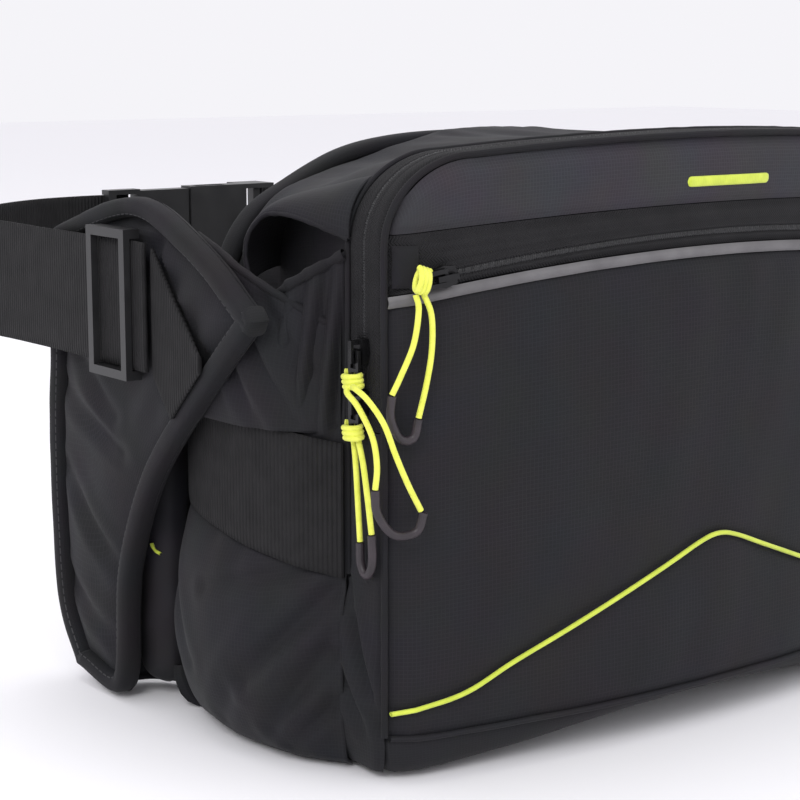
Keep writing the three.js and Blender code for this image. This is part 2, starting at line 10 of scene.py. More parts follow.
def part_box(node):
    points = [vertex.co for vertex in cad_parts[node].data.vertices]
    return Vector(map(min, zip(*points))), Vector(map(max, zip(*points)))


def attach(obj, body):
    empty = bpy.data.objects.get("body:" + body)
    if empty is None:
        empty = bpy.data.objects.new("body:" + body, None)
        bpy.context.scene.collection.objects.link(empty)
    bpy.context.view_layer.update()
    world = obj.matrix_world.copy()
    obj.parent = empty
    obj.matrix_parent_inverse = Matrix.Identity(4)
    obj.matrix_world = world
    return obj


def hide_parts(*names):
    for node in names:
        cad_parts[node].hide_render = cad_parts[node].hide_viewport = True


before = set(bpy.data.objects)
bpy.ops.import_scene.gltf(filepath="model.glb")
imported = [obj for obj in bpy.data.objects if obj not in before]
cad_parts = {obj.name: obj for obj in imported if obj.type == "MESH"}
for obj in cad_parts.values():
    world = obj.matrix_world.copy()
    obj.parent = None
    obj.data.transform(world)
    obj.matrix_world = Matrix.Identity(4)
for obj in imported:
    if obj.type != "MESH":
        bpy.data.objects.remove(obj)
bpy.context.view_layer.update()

# Studio: a plain pale floor under a soft white sky, with one large soft light from the upper
# left and a weaker one from the right. The camera stands low, to the front left of the pack.
floor_mesh = bpy.data.meshes.new("studio_floor")
floor_mesh.from_pydata([(-6, -6, 0), (6, -6, 0), (6, 6, 0), (-6, 6, 0)], [], [(0, 1, 2, 3)])
studio_floor = bpy.data.objects.new("studio_floor", floor_mesh)
bpy.context.collection.objects.link(studio_floor)
floor_paint = bpy.data.materials.new("studio_floor")
floor_paint.use_nodes = True
floor_paint.node_tree.nodes["Principled BSDF"].inputs["Base Color"].default_value = (0.955, 0.948, 0.97, 1)
floor_paint.node_tree.nodes["Principled BSDF"].inputs["Roughness"].default_value = 0.9
floor_mesh.materials.append(floor_paint)

sky = bpy.data.worlds.new("studio_sky")
sky.use_nodes = True
sky.node_tree.nodes["Background"].inputs["Color"].default_value = (0.913, 0.905, 0.94, 1)
sky.node_tree.nodes["Background"].inputs["Strength"].default_value = 1.0
bpy.context.scene.world = sky
bpy.context.scene.view_settings.view_transform = "Standard"  # plain, undarkened colours

LOOK_AT = Vector((-0.117, -0.040, 0.136))


def soft_light(name, place, size, power):
    lamp = bpy.data.lights.new(name, "AREA")
    lamp.size = size
    lamp.energy = power
    holder = bpy.data.objects.new(name, lamp)
    holder.location = place
    holder.rotation_euler = (LOOK_AT - Vector(place)).to_track_quat("-Z", "Y").to_euler()
    bpy.context.collection.objects.link(holder)


soft_light("key_light", (-1.5, -1.0, 1.5), 1.0, 16)
soft_light("front_light", (0.9, -1.9, 1.0), 1.4, 6)
soft_light("top_light", (0.0, 0.3, 1.9), 1.2, 8)

AZIMUTH, ELEVATION, DISTANCE = math.radians(-37), math.radians(10), 0.75
lens = bpy.data.cameras.new("camera")
lens.lens = 90
lens.sensor_width = 36
camera = bpy.data.objects.new("camera", lens)
back = Vector((math.sin(AZIMUTH) * math.cos(ELEVATION),
               -math.cos(AZIMUTH) * math.cos(ELEVATION),
               math.sin(ELEVATION)))
camera.location = LOOK_AT + back * DISTANCE
camera.rotation_euler = back.to_track_quat("Z", "Y").to_euler()
bpy.context.collection.objects.link(camera)
bpy.context.scene.camera = camera

# Pull cords: smooth braided lime cord, 2.2 mm thick. On every zip slider one cord is folded in
# two, looped through the pull tab's eye, and its two ends are pushed into a soft rubber loop.
CORD_THICK = 0.0022
LOOP_THICK = 0.0032
MM = 0.001
PULL_CORDS = {
    "pocket": {
        "a": [(-140.6, -80.4, 181.4), (-140, -81.4, 176), (-141.6, -80.6, 164), (-146, -79, 153),
              (-149, -77.8, 146.4)],
        "b": [(-137.6, -81, 181.6), (-135, -82.2, 174), (-134.6, -82, 162), (-136.4, -81.4, 150),
              (-139.4, -80.6, 137.6)],
        "loop": [(-149, -77.8, 146), (-149.4, -77.6, 138), (-146, -78.6, 130.6), (-141.2, -80, 130.6),
                 (-139.5, -80.6, 137.2)],
    },
    "upper": {
        "a": [(-154.2, -59.2, 147.4), (-157.4, -62.5, 146), (-158, -70, 142), (-156.6, -76.6, 132),
              (-156, -78.4, 122), (-156.5, -78, 113.6)],
        "b": [(-154.2, -62, 147.6), (-157.2, -66.4, 148.4), (-157, -74.4, 145), (-154.4, -80.4, 137),
              (-151, -82.6, 126), (-146.4, -83.8, 115), (-141.2, -84.4, 105.2)],
        "loop": [(-156.5, -78, 113.2), (-156, -78.6, 105), (-150.4, -80.6, 97), (-142.4, -83.4, 97.4),
                 (-140.2, -84.7, 104.4)],
    },
    "lower": {
        "a": [(-152.2, -58.8, 129.6), (-152.6, -60.8, 121), (-152.4, -61.8, 107), (-152, -62.6, 91.2)],
        "b": [(-152.2, -61.6, 129.4), (-153, -65.8, 121), (-152.8, -68.4, 108), (-152, -69.6, 95.2)],
        "loop": [(-152, -62.6, 90.8), (-152, -63, 83), (-152, -66.4, 79.4), (-152, -69.8, 84),
                 (-152, -69.7, 94.8)],
    },
}


def smooth_line(points, count):
    """A smooth line through the points, with its places spaced evenly along it."""
    spots = [Vector(p) for p in points]
    ends = [spots[0] * 2 - spots[1], *spots, spots[-1] * 2 - spots[-2]]
    dense = []
    for i in range(1, len(ends) - 2):
        p0, p1, p2, p3 = ends[i - 1:i + 3]
        for k in range(12):
            t = k / 12
            dense.append(0.5 * ((2 * p1) + (p2 - p0) * t + (2 * p0 - 5 * p1 + 4 * p2 - p3) * t * t
                                + (3 * p1 - p0 - 3 * p2 + p3) * t ** 3))
    dense.append(spots[-1])
    run = np.cumsum([0] + [(dense[i + 1] - dense[i]).length for i in range(len(dense) - 1)])
    wanted = np.linspace(0, run[-1], count)
    axes = [np.interp(wanted, run, [p[k] for p in dense]) for k in range(3)]
    return [Vector(p) for p in zip(*axes)]


def line_length(points):
    return sum((points[i + 1] - points[i]).length for i in range(len(points) - 1))


def cord_curve(name, points, thick, material):
    line = bpy.data.curves.new(name, "CURVE")
    line.dimensions = "3D"
    line.bevel_depth = thick / 2
    line.bevel_resolution = 4
    line.use_fill_caps = True
    spline = line.splines.new("POLY")
    spline.points.add(len(points) - 1)
    for spot, p in zip(spline.points, points):
        spot.co = (*p, 1)
    line.materials.append(material)
    piece = bpy.data.objects.new(name, line)
    bpy.context.collection.objects.link(piece)
    return piece


def new_material(name, color, rough, metal=0.0):
    paint = bpy.data.materials.new(name)
    paint.use_nodes = True
    shader = paint.node_tree.nodes["Principled BSDF"]
    shader.inputs["Base Color"].default_value = (*color, 1)
    shader.inputs["Roughness"].default_value = rough
    shader.inputs["Metallic"].default_value = metal
    return paint, paint.node_tree.nodes, paint.node_tree.links, shader


def wire_bump(nodes, links, shader, height, depth, strength=1.0):
    bump = nodes.new("ShaderNodeBump")
    bump.inputs["Distance"].default_value = depth
    bump.inputs["Strength"].default_value = strength
    links.new(height, bump.inputs["Height"])
    links.new(bump.outputs["Normal"], shader.inputs["Normal"])


def texture(nodes, links, kind, space, **settings):
    """A texture laid through the piece ("Object") or along the run of its cloth ("UV")."""
    place = nodes.new("ShaderNodeTexCoord")
    made = nodes.new("ShaderNodeTex" + kind)
    for name, value in settings.items():
        made.inputs[name.replace("_", " ").title()].default_value = value
    links.new(place.outputs[space], made.inputs["Vector"])
    return made


def wire_tint(nodes, links, shader, low, high, size):
    """Two close shades of one colour in soft patches."""
    cloud = texture(nodes, links, "Noise", "Object", scale=1 / size, detail=4)
    ramp = nodes.new("ShaderNodeValToRGB")
    ramp.color_ramp.elements[0].position = 0.3
    ramp.color_ramp.elements[1].position = 0.7
    ramp.color_ramp.elements[0].color = (*low, 1)
    ramp.color_ramp.elements[1].color = (*high, 1)
    links.new(cloud.outputs["Fac"], ramp.inputs["Fac"])
    links.new(ramp.outputs["Color"], shader.inputs["Base Color"])
    return cloud


def lime_cord_material():
    paint, nodes, links, shader = new_material("lime_cord", (0.78, 0.81, 0.09), 0.55)
    wire_tint(nodes, links, shader, (0.70, 0.74, 0.07), (0.83, 0.86, 0.12), 0.004)
    braid = texture(nodes, links, "Wave", "Object", scale=320, distortion=1.5)
    braid.bands_direction = "DIAGONAL"
    wire_bump(nodes, links, shader, braid.outputs["Fac"], 0.00012, 0.6)
    shader.inputs["Sheen Weight"].default_value = 0.2
    return paint


def rubber_material():
    paint, nodes, links, shader = new_material("cord_end_rubber", (0.022, 0.016, 0.020), 0.45)
    cloud = wire_tint(nodes, links, shader, (0.016, 0.012, 0.015), (0.032, 0.023, 0.029), 0.006)
    wire_bump(nodes, links, shader, cloud.outputs["Fac"], 0.0001, 0.4)
    return paint


lime_cord = lime_cord_material()
cord_rubber = rubber_material()


def knot_turns(centre, across, along, outward, wide, tall, turns):
    """Cord wound round the end of a pull tab: flat oval turns laid side by side."""
    spots = []
    for i in range(turns * 16 + 1):
        angle = 2 * math.pi * i / 16
        slide = (i / (turns * 16) - 0.5) * tall
        spots.append(centre + across * (math.cos(angle) * wide) + outward * (math.sin(angle) * 0.0024)
                     + along * slide)
    return spots


for name, route in PULL_CORDS.items():
    body = f"{name}_pull"
    tab_low, tab_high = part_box("pocket_pull" if name == "pocket" else f"main_{name}_pull")
    loop_line = smooth_line([Vector(p) * MM for p in route["loop"]], 30)
    loop_end = cord_curve(f"{name}_loop_end", loop_line, LOOP_THICK, cord_rubber)
    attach(loop_end, body)
    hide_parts(f"{name}_cord_loop")
    if name == "pocket":
        knot_at = Vector((tab_low.x + 0.0012, (tab_low.y + tab_high.y) / 2, tab_low.z + 0.0035))
        across, along, outward = Vector((0.25, 0, 0.97)), Vector((0.95, 0, -0.3)), Vector((-0.1, -1, 0))
    else:
        tab_middle = (tab_low + tab_high) / 2
        knot_at = Vector((tab_middle.x - 0.0008, tab_middle.y, tab_low.z + 0.0008))
        across, along, outward = Vector((0, 1, 0)), Vector((0, 0.25, 1)), Vector((-1, 0, 0))
    turns = knot_turns(knot_at, across, along, outward, 0.0040, 0.0052, 3)
    knot = cord_curve(f"{name}_cord_knot", turns, CORD_THICK, lime_cord)
    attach(knot, body)
    for strand in ("a", "b"):
        line = smooth_line([Vector(p) * MM for p in route[strand]], 28)
        cord = cord_curve(f"{name}_strand_{strand}", line, CORD_THICK, lime_cord)
        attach(cord, body)
        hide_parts(f"{name}_cord_{strand}")

# Base: a shallow tray of coated cloth. Its wall turns up 18 mm all round and is sewn to the
# panels above with a rolled seam; its edge is soft and the floor of it sags flat.
FRONT_CORNERS = ((125, -79.13), (138, -76), (145.7, -71), (149, -69.2))


def front_y(x):
    """Where the stuffed front face stands, in millimetres, at x across."""
    x = abs(x)
    if x <= 125:
        return -92 + x * x / 1214
    return float(np.interp(x, *zip(*FRONT_CORNERS)))


def ripple(x, y, z, size, shift=0.0):
    """Soft random waves between -1 and 1, about one size across."""
    return noise.noise(Vector((x / size + shift, y / size - shift, z / size + 2 * shift)))


def grid_cloth(name, rows, material, closed=False, thick=0.0):
    """Cloth through rows of points in millimetres. Its UV map is its own run in millimetres."""
    points = np.array([[tuple(p) for p in row] for row in rows], float)
    high, wide = points.shape[:2]
    ring = np.concatenate([points, points[:, :1]], 1) if closed else points
    across = np.linalg.norm(np.diff(ring, axis=1), axis=2).mean(0)
    upward = np.linalg.norm(np.diff(points, axis=0), axis=2).mean(1)
    u_run = np.concatenate([[0], np.cumsum(across)])
    v_run = np.concatenate([[0], np.cumsum(upward)])
    faces = []
    spots = []
    for r in range(high - 1):
        for c in range(wide if closed else wide - 1):
            n = (c + 1) % wide
            faces.append((r * wide + c, r * wide + n, (r + 1) * wide + n, (r + 1) * wide + c))
            spots += [(u_run[c], v_run[r]), (u_run[c + 1], v_run[r]),
                      (u_run[c + 1], v_run[r + 1]), (u_run[c], v_run[r + 1])]
    mesh = bpy.data.meshes.new(name)
    mesh.from_pydata((points.reshape(-1, 3) * MM).tolist(), [], faces)
    cloth_map = mesh.uv_layers.new(name="cloth")
    cloth_map.data.foreach_set("uv", np.array(spots).ravel())
    mesh.polygons.foreach_set("use_smooth", [True] * len(faces))
    mesh.materials.append(material)
    mesh.update()
    piece = bpy.data.objects.new(name, mesh)
    bpy.context.collection.objects.link(piece)
    if thick:
        skin = piece.modifiers.new("thickness", "SOLIDIFY")
        skin.thickness = thick * MM
        skin.offset = 0
    return piece


def part(piece, body, slot, *nodes):
    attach(piece, body)
    if nodes:
        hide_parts(*nodes)
    return piece


def woven(name, dark, light, check=1.6, line=0.16, rough=0.72, sheen=0.03, crumple=0.25):
    """Plain-woven cloth with a fine check of thicker threads and a slightly uneven dye."""
    paint, nodes, links, shader = new_material(name, dark, rough)
    between = [0.8 * d + 0.2 * h for d, h in zip(dark, light)]
    threads = texture(nodes, links, "Brick", "UV", scale=1, brick_width=check, row_height=check,
                      mortar_size=line, mortar_smooth=0.6,
                      color1=(*dark, 1), color2=(*between, 1), mortar=(*light, 1))
    threads.offset = 0
    threads.squash = 1
    dye = texture(nodes, links, "Noise", "Object", scale=38, detail=5)
    shade = nodes.new("ShaderNodeMix")
    shade.data_type = "RGBA"
    shade.blend_type = "OVERLAY"
    shade.inputs["Factor"].default_value = 0.25
    links.new(threads.outputs["Color"], shade.inputs["A"])
    links.new(dye.outputs["Color"], shade.inputs["B"])
    links.new(shade.outputs["Result"], shader.inputs["Base Color"])
    crease = texture(nodes, links, "Noise", "Object", scale=150, detail=3)
    soft = nodes.new("ShaderNodeBump")
    soft.inputs["Distance"].default_value = 0.0006
    soft.inputs["Strength"].default_value = crumple
    links.new(crease.outputs["Fac"], soft.inputs["Height"])
    weave = nodes.new("ShaderNodeBump")
    weave.inputs["Distance"].default_value = 0.00008
    weave.inputs["Strength"].default_value = 0.5
    links.new(threads.outputs["Fac"], weave.inputs["Height"])
    links.new(soft.outputs["Normal"], weave.inputs["Normal"])
    links.new(weave.outputs["Normal"], shader.inputs["Normal"])
    shader.inputs["Sheen Weight"].default_value = sheen
    shader.inputs["Sheen Roughness"].default_value = 0.5
    shader.inputs["Specular IOR Level"].default_value = 0.22
    return paint


shell_cloth = woven("shell_fabric", (0.0090, 0.0087, 0.0110), (0.0142, 0.0138, 0.0165))
base_cloth = woven("base_fabric", (0.0085, 0.0083, 0.0105), (0.013, 0.0125, 0.015), check=1.1, line=0.2,
                   rough=0.68)
binding_cloth = woven("binding_tape", (0.0075, 0.0073, 0.009), (0.012, 0.0115, 0.0135), check=0.7, line=0.2,
                      rough=0.8)


def tube_rows(centre, section, frames):
    """Rings of points: the section (side, up) is set round every point of a centre line."""
    rows = []
    for i, spot in enumerate(centre):
        side, up = frames(i)
        rows.append([Vector(spot) + side * a + up * b for a, b in section(i)])
    return rows


def along(centre, i, closed=False):
    count = len(centre)
    first = centre[(i - 1) % count] if closed else centre[max(i - 1, 0)]
    last = centre[(i + 1) % count] if closed else centre[min(i + 1, count - 1)]
    return (Vector(last) - Vector(first)).normalized()


def round_section(radius, sides=10):
    turns = [2 * math.pi * k / sides for k in range(sides)]
    return [(radius * math.cos(a), radius * math.sin(a)) for a in turns]


def rolled_seam(name, centre, radius, material, outward, lumps=0.12):
    """A folded seam allowance: a soft cord of cloth that swells a little between its stitches."""
    def section(i):
        swell = radius * (1 + lumps * ripple(i * 2.0, 0, radius, 7))
        return round_section(swell)

    def frame_at(i):
        run = along(centre, i)
        side = Vector(outward(i)).normalized()
        return side, run.cross(side).normalized()
    rows = tube_rows(centre, section, frame_at)
    return grid_cloth(name, list(map(list, rows)), material, closed=True)


def base_ring():
    front = [(x, front_y(x)) for x in np.linspace(-145.7, 145.7, 60)]
    side = [(148.5, -60), (151, -48), (154, -22), (155, 5), (152, 35), (147, 49), (142, 55.7)]
    plan = front + side + [(-x, y) for x, y in reversed(side)]
    return smooth_line([(x, y, 0) for x, y in plan + plan[:1]], 181)[:-1]


WALL_TOP = 17.6
BASE_MIDDLE, BASE_HALF_WIDE, BASE_HALF_DEEP = -18, 152, 78
BASE_RINGS = ((0, 150), (0, 90), (0, 40), (0, 18), (0, 11), (0.7, 8), (2.4, 5.2), (5.5, 3.2),
              (9, 2), (12.5, 1.2), (15.6, 0.9), (WALL_TOP, 1.4))  # height, and how far in from the edge
ring = base_ring()
base_rows = []
for height, inset in BASE_RINGS:
    row = []
    for p in ring:
        under = inset * (1 + 1.5 * math.exp(-(p.x / 95) ** 2) * (p.y < -40))
        sink = 1 - inset / BASE_HALF_WIDE, max(1 - under / BASE_HALF_DEEP, 0.01)
        puff = 1.3 * ripple(p.x, p.y, height, 30, 3.1) if 0 < height < WALL_TOP else 0
        reach = 1 + puff / 150
        y = BASE_MIDDLE + (p.y - BASE_MIDDLE) * sink[1] * reach
        toward_front = min(max((-20 - y) / 55, 0), 1)
        raised = 10 * math.exp(-(p.x / 105) ** 2) * toward_front * (1 - height / WALL_TOP)
        row.append(Vector((p.x * sink[0] * reach, y, height + raised)))
    base_rows.append(row)
base = grid_cloth("base_tray", base_rows, base_cloth, closed=True)
part(base, "pack", "base_fabric", "base_panel")
seam_line = [Vector((p.x * 0.997, p.y, WALL_TOP + 0.25 * ripple(p.x, p.y, 0, 20))) for p in ring if p.y < -68]
seam_line.sort(key=lambda p: p.x)
base_seam = rolled_seam("base_seam", seam_line, 1.1, base_cloth, lambda i: (0, -1, 0.1))
part(base_seam, "pack", "base_fabric")

# Front panel: one stuffed piece of ripstop cloth. It is pinched in along the lime piping and in
# its seams, and it hangs in slight upright folds under the pocket zip.
HALF = 145.9
FRONT_LOW = 18.3
PIPING = [(-145.6, 27.6), (-138, 29), (-118, 33), (-98, 42), (-72, 52), (-28, 69), (-10, 76), (0, 78)]
piping_plan = PIPING + [(-x, z) for x, z in reversed(PIPING[:-1])]
piping_line = smooth_line([(x, 0, z) for x, z in piping_plan], 120)


def reflect_low(x):
    return 187.5 - 12.5 * (x / 148) ** 2


def tape_high(x):
    return 208 - 7 * (x / 148) ** 2


def piping_z(x):
    return float(np.interp(x, [p.x for p in piping_line], [p.z for p in piping_line]))


def tucked(distance, reach=2.2, depth=1.3):
    """How far cloth dips towards a seam that is this far away."""
    return depth * math.exp(-(max(distance, 0) / reach) ** 2)


def front_cloth(x, z):
    low, high = FRONT_LOW, reflect_low(x)
    edge = HALF - abs(x)
    line = abs(z - piping_z(x)) if abs(x) < 146 else 30
    stuffed = 2.2 * (1 - math.exp(-min(line, 60) / 14)) * (1 - math.exp(-edge / 12))
    stuffed *= 1 - math.exp(-min(z - low, high - z) / 9)
    below = high - z
    folds = 0.55 * math.sin(x / 5.2 + 2.2 * ripple(x, 0, z, 60, 1.3)) * math.exp(-below / 26)
    folds += 0.9 * ripple(x, 0, z * 0.45, 22, 5.2) * (1 - math.exp(-edge / 8))
    folds += 1.1 * ripple(x, 0, z, 62, 8.8)
    folds *= 1 - math.exp(-min(z - low, below, edge) / 3.5)
    dip = tucked(edge) + tucked(z - low, 2.5, 1.0) + tucked(below, 2.0, 0.8) + tucked(line, 2.4, 0.7)
    return front_y(x) - stuffed - folds + dip


def face_grid(low, high, wide, tall, depth):
    rows = []
    for j in range(tall + 1):
        row = []
        for i in range(wide + 1):
            x = -HALF + 2 * HALF * i / wide
            z = low(x) + (high(x) - low(x)) * j / tall
            row.append((x, depth(x, z), z))
        rows.append(row)
    return rows


front = grid_cloth("front_panel_cloth",
                   face_grid(lambda x: FRONT_LOW, reflect_low, 200, 130, front_cloth), shell_cloth)
part(front, "pack", "shell_fabric", "front_panel")

# Lime piping: a thin cord in folded bright tape, caught in the seam that crosses the front panel.
def lime_tape():
    paint, nodes, links, shader = new_material("lime_piping", (0.58, 0.68, 0.05), 0.6)
    wire_tint(nodes, links, shader, (0.50, 0.60, 0.04), (0.62, 0.72, 0.06), 0.005)
    ribs = texture(nodes, links, "Wave", "UV", scale=0.35)
    wire_bump(nodes, links, shader, ribs.outputs["Fac"], 0.0001, 0.5)
    shader.inputs["Sheen Weight"].default_value = 0.3
    return paint


piping_centre = [Vector((p.x, front_y(p.x) - 1.4, p.z)) for p in piping_line]
bright_tape = lime_tape()
piping = rolled_seam("lime_piping_tube", piping_centre, 0.95, bright_tape, lambda i: (0, -1, 0), 0.05)
part(piping, "pack", "lime_piping", "lime_piping")

# Reflective strip: a narrow fold of grey tape filled with glass beads, above the front panel.
def bead_tape():
    paint, nodes, links, shader = new_material("reflective", (0.13, 0.126, 0.13), 0.42, 0.25)
    wire_tint(nodes, links, shader, (0.105, 0.101, 0.105), (0.15, 0.145, 0.15), 0.012)
    beads = texture(nodes, links, "Voronoi", "Object", scale=2600)
    wire_bump(nodes, links, shader, beads.outputs["Distance"], 0.0001, 0.35)
    return paint


STRIP_FROM, STRIP_TO = 0.3, 4.5


def strip_depth(x, z):
    share = (z - reflect_low(x) - STRIP_FROM) / (STRIP_TO - STRIP_FROM)
    return front_y(x) - 0.9 * math.sin(math.pi * min(max(share, 0), 1)) - 0.25 * ripple(x, 0, 0, 14, 2)


strip_rows = face_grid(lambda x: reflect_low(x) + STRIP_FROM, lambda x: reflect_low(x) + STRIP_TO,
                       160, 8, strip_depth)
reflector = grid_cloth("reflective_fold", strip_rows, bead_tape())
part(reflector, "pack", "reflective", "reflective_strip")

# Pocket zip: a wide herringbone tape across the front, with its coil showing in a narrow groove
# low on it, and a small cloth tab sewn over each end.
def herringbone_tape():
    paint, nodes, links, shader = new_material("zip_tape", (0.008, 0.0078, 0.009), 0.75)
    wire_tint(nodes, links, shader, (0.0065, 0.0063, 0.0075), (0.0115, 0.011, 0.0125), 0.01)
    place = nodes.new("ShaderNodeTexCoord")
    split = nodes.new("ShaderNodeSeparateXYZ")
    links.new(place.outputs["UV"], split.inputs["Vector"])

    def sum_up(operation, first, second):
        step = nodes.new("ShaderNodeMath")
        step.operation = operation
        for socket, value in zip(step.inputs, (first, second)):
            if isinstance(value, (int, float)):
                socket.default_value = value
            else:
                links.new(value, socket)
        return step.outputs["Value"]

    zigzag = sum_up("PINGPONG", split.outputs["Y"], 1.6)
    slant = sum_up("ADD", split.outputs["X"], zigzag)
    wave = sum_up("SINE", sum_up("MULTIPLY", slant, 5.2), 0.0)
    wire_bump(nodes, links, shader, wave, 0.00016, 0.9)
    shader.inputs["Specular IOR Level"].default_value = 0.3
    return paint


def coil_nylon():
    paint, nodes, links, shader = new_material("zip_coil", (0.012, 0.012, 0.013), 0.35)
    wire_tint(nodes, links, shader, (0.010, 0.010, 0.011), (0.020, 0.020, 0.022), 0.003)
    teeth = texture(nodes, links, "Wave", "UV", scale=0.32)
    wire_bump(nodes, links, shader, teeth.outputs["Fac"], 0.0004, 0.9)
    return paint


zip_cloth = herringbone_tape()
zip_nylon = coil_nylon()


TAPE_FROM = 4.8


def zip_line(x):
    return 197 - 0.75 * (front_y(min(abs(x), 125)) + 92) - max(abs(x) - 125, 0) * 0.25


def tape_depth(x, z):
    gap = abs(z - zip_line(x))
    low, high, edge = z - (reflect_low(x) + TAPE_FROM), tape_high(x) - z, HALF - abs(x)
    groove = 1.1 * math.exp(-(gap / 1.3) ** 4) + 0.25 * math.exp(-((gap - 4.2) / 0.5) ** 2)
    dip = tucked(low, 1.6, 0.7) + tucked(high, 2.0, 1.1) + tucked(edge)
    shoulder = 0.5 * math.exp(-((gap - 2.1) / 0.9) ** 2) + 0.35 * ripple(x, 0, z, 26, 4)
    return front_y(x) - shoulder + groove + dip


tape_rows = face_grid(lambda x: reflect_low(x) + TAPE_FROM, tape_high, 180, 44, tape_depth)
pocket_tape = grid_cloth("pocket_zip_cloth", tape_rows, zip_cloth)
part(pocket_tape, "pack", "zip_tape", "pocket_zip_tape")


def coil_rows(spots, outward, across, half, teeth, lift):
    """A band of tiny nylon loops: its surface rises and falls once for each tooth."""
    rows = []
    for k in range(5):
        share = (k / 4 - 0.5) * 2
        row = []
        for i, spot in enumerate(spots):
            tooth = 0.22 * math.sin(2 * math.pi * i / teeth + (0 if share < 0 else math.pi))
            rise = lift * (1 - share * share) + tooth * (1 - abs(share))
            row.append(Vector(spot) + Vector(across(i)) * (share * half) + Vector(outward(i)) * rise)
        rows.append(row)
    return rows


coil_xs = np.linspace(-139, 139, 900)
coil_spots = [(x, front_y(x) + 0.55, zip_line(x)) for x in coil_xs]
pocket_teeth = coil_rows(coil_spots, lambda i: (0, -1, 0), lambda i: (0, 0, 1), 1.25, 4, 0.45)
pocket_coil = grid_cloth("pocket_zip_teeth", pocket_teeth, zip_nylon)
part(pocket_coil, "pack", "zip_coil", "pocket_zip_coil")

SIDES = (("left", -1), ("right", 1))
for side, s in SIDES:
    low, high = (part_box(f"pocket_zip_end_{side}")[k] / MM for k in (0, 1))
    tab_rows = []
    for j in range(17):
        z = low.z + (high.z - low.z) * j / 16
        row = []
        for i in range(13):
            share = i / 12
            x = s * (136.4 + 8.2 * share)
            rim = min(share, 1 - share, j / 16, 1 - j / 16)
            puff = 1.5 * (1 - math.exp(-rim * 12)) + 0.25 * ripple(x, 0, z, 5, 2)
            row.append((x, front_y(x) - 0.2 - puff, z))
        tab_rows.append(row)
    tab = grid_cloth(f"pocket_zip_tab_{side}", tab_rows, binding_cloth)
    part(tab, "pack", "shell_fabric", f"pocket_zip_end_{side}")

# Top front panel: a lighter cloth between the pocket zip and the top edge, softly stuffed and
# rolled over at the top. A short plain bar of lime tape is bonded near its middle.
panel_cloth = woven("panel_fabric", (0.0265, 0.0255, 0.0305), (0.037, 0.036, 0.042), check=1.3, line=0.14,
                    crumple=0.45)


def top_edge(x):
    x = abs(x)
    if x <= 114:
        return 227.7 + 5 * (1 - (x / 114) ** 2)
    return 196 + math.sqrt(max(31.7 ** 2 - (x - 114) ** 2, 0))


def top_depth(x, z):
    low, high, edge = z - tape_high(x) - 0.3, top_edge(x) - z, HALF - abs(x)
    room = min(low, high)
    puff = 2.2 * (1 - math.exp(-max(room, 0) / 7)) * (1 - math.exp(-edge / 10))
    folds = 0.8 * ripple(x, 0, z * 0.7, 30, 2.6) + 0.5 * ripple(x * 0.5, 0, z, 11, 7.7)
    folds *= 1 - math.exp(-max(min(room, edge), 0) / 4)
    roll = 2.4 * math.exp(-(max(high, 0) / 3.2) ** 2)
    return front_y(x) - puff - folds + tucked(low, 2, 1.1) + tucked(edge) + roll


top_rows = face_grid(lambda x: tape_high(x) + 0.3, lambda x: max(top_edge(x), tape_high(x) + 0.6),
                     200, 40, top_depth)
top_panel = grid_cloth("top_panel_cloth", top_rows, panel_cloth)
part(top_panel, "pack", "panel_fabric", "top_front_panel")
BAR_REACH, BAR_RADIUS, BAR_Z = 22, 2, 216.5
bar_rows = []
for k in range(13):
    turn = math.pi * k / 12
    row = []
    for x in np.linspace(-BAR_REACH, BAR_REACH, 61):
        past = max(abs(x) - (BAR_REACH - BAR_RADIUS), 0) / BAR_RADIUS
        end = math.sqrt(max(1 - past ** 2, 0.0004))
        z = BAR_Z - BAR_RADIUS * math.cos(turn) * end
        row.append((x, top_depth(x, z) + 0.2 - 1.1 * math.sin(turn) ** 0.6 * end, z))
    bar_rows.append(row)
lime_bar = grid_cloth("lime_bar", bar_rows, bright_tape)
part(lime_bar, "pack", "lime_piping")

# Main zip band: tape sewn round the front outline, up one side, over the top and down the other.
# Its coil is turned inwards, so only a fine grooved line shows along its middle.
BAG_HALF, BAG_TOP, CORNER, CROWN = 148, 230, 34, 5


def outline_line(low, count, inset=0.0):
    """Points and outward directions round the front outline, from the foot of the left side."""
    half, top, bend = BAG_HALF - inset, BAG_TOP - inset, CORNER - inset
    spots = [(-half, low + (top - bend - low) * k / 60) for k in range(60)]
    spots += [(-(half - bend) + bend * math.cos(a), top - bend + bend * math.sin(a))
              for a in np.linspace(math.pi, math.pi / 2, 32)[:-1]]
    spots += [(x, top + CROWN * (1 - (x / (half - bend)) ** 2)) for x in np.linspace(-(half - bend), 0, 60)]
    spots += [(-x, z) for x, z in reversed(spots[:-1])]
    line = smooth_line([(x, 0, z) for x, z in spots], count)
    outward = []
    for i in range(count):
        run = along(line, i)
        outward.append(Vector((-run.z, 0, run.x)))
    return line, outward


def forward(x, share=1.0):
    return 20 * (1 - min(abs(x) / 146, 1) ** 2) * share


def band_rows(low, count, near, far, wide, lift, back_share=0.0):
    line, outward = outline_line(low, count)
    rows = []
    for j in range(wide + 1):
        across = j / wide
        share = across * back_share
        row = []
        for i, (p, out) in enumerate(zip(line, outward)):
            y = near + (far - near) * across
            rise = lift(i / (count - 1), across, p)
            corner = min(max((abs(p.x) - 30) / 90, 0), 1) * min(max((p.z - 140) / 80, 0), 1)
            drop = share * (3 + 15 * corner) * min(max((p.z - 140) / 60, 0), 1)
            spot = Vector((p.x, y - forward(p.x, 1 - share), p.z - drop)) + out * rise
            spot.x *= 1 - 0.16 * share
            row.append(spot)
        rows.append(row)
    return rows


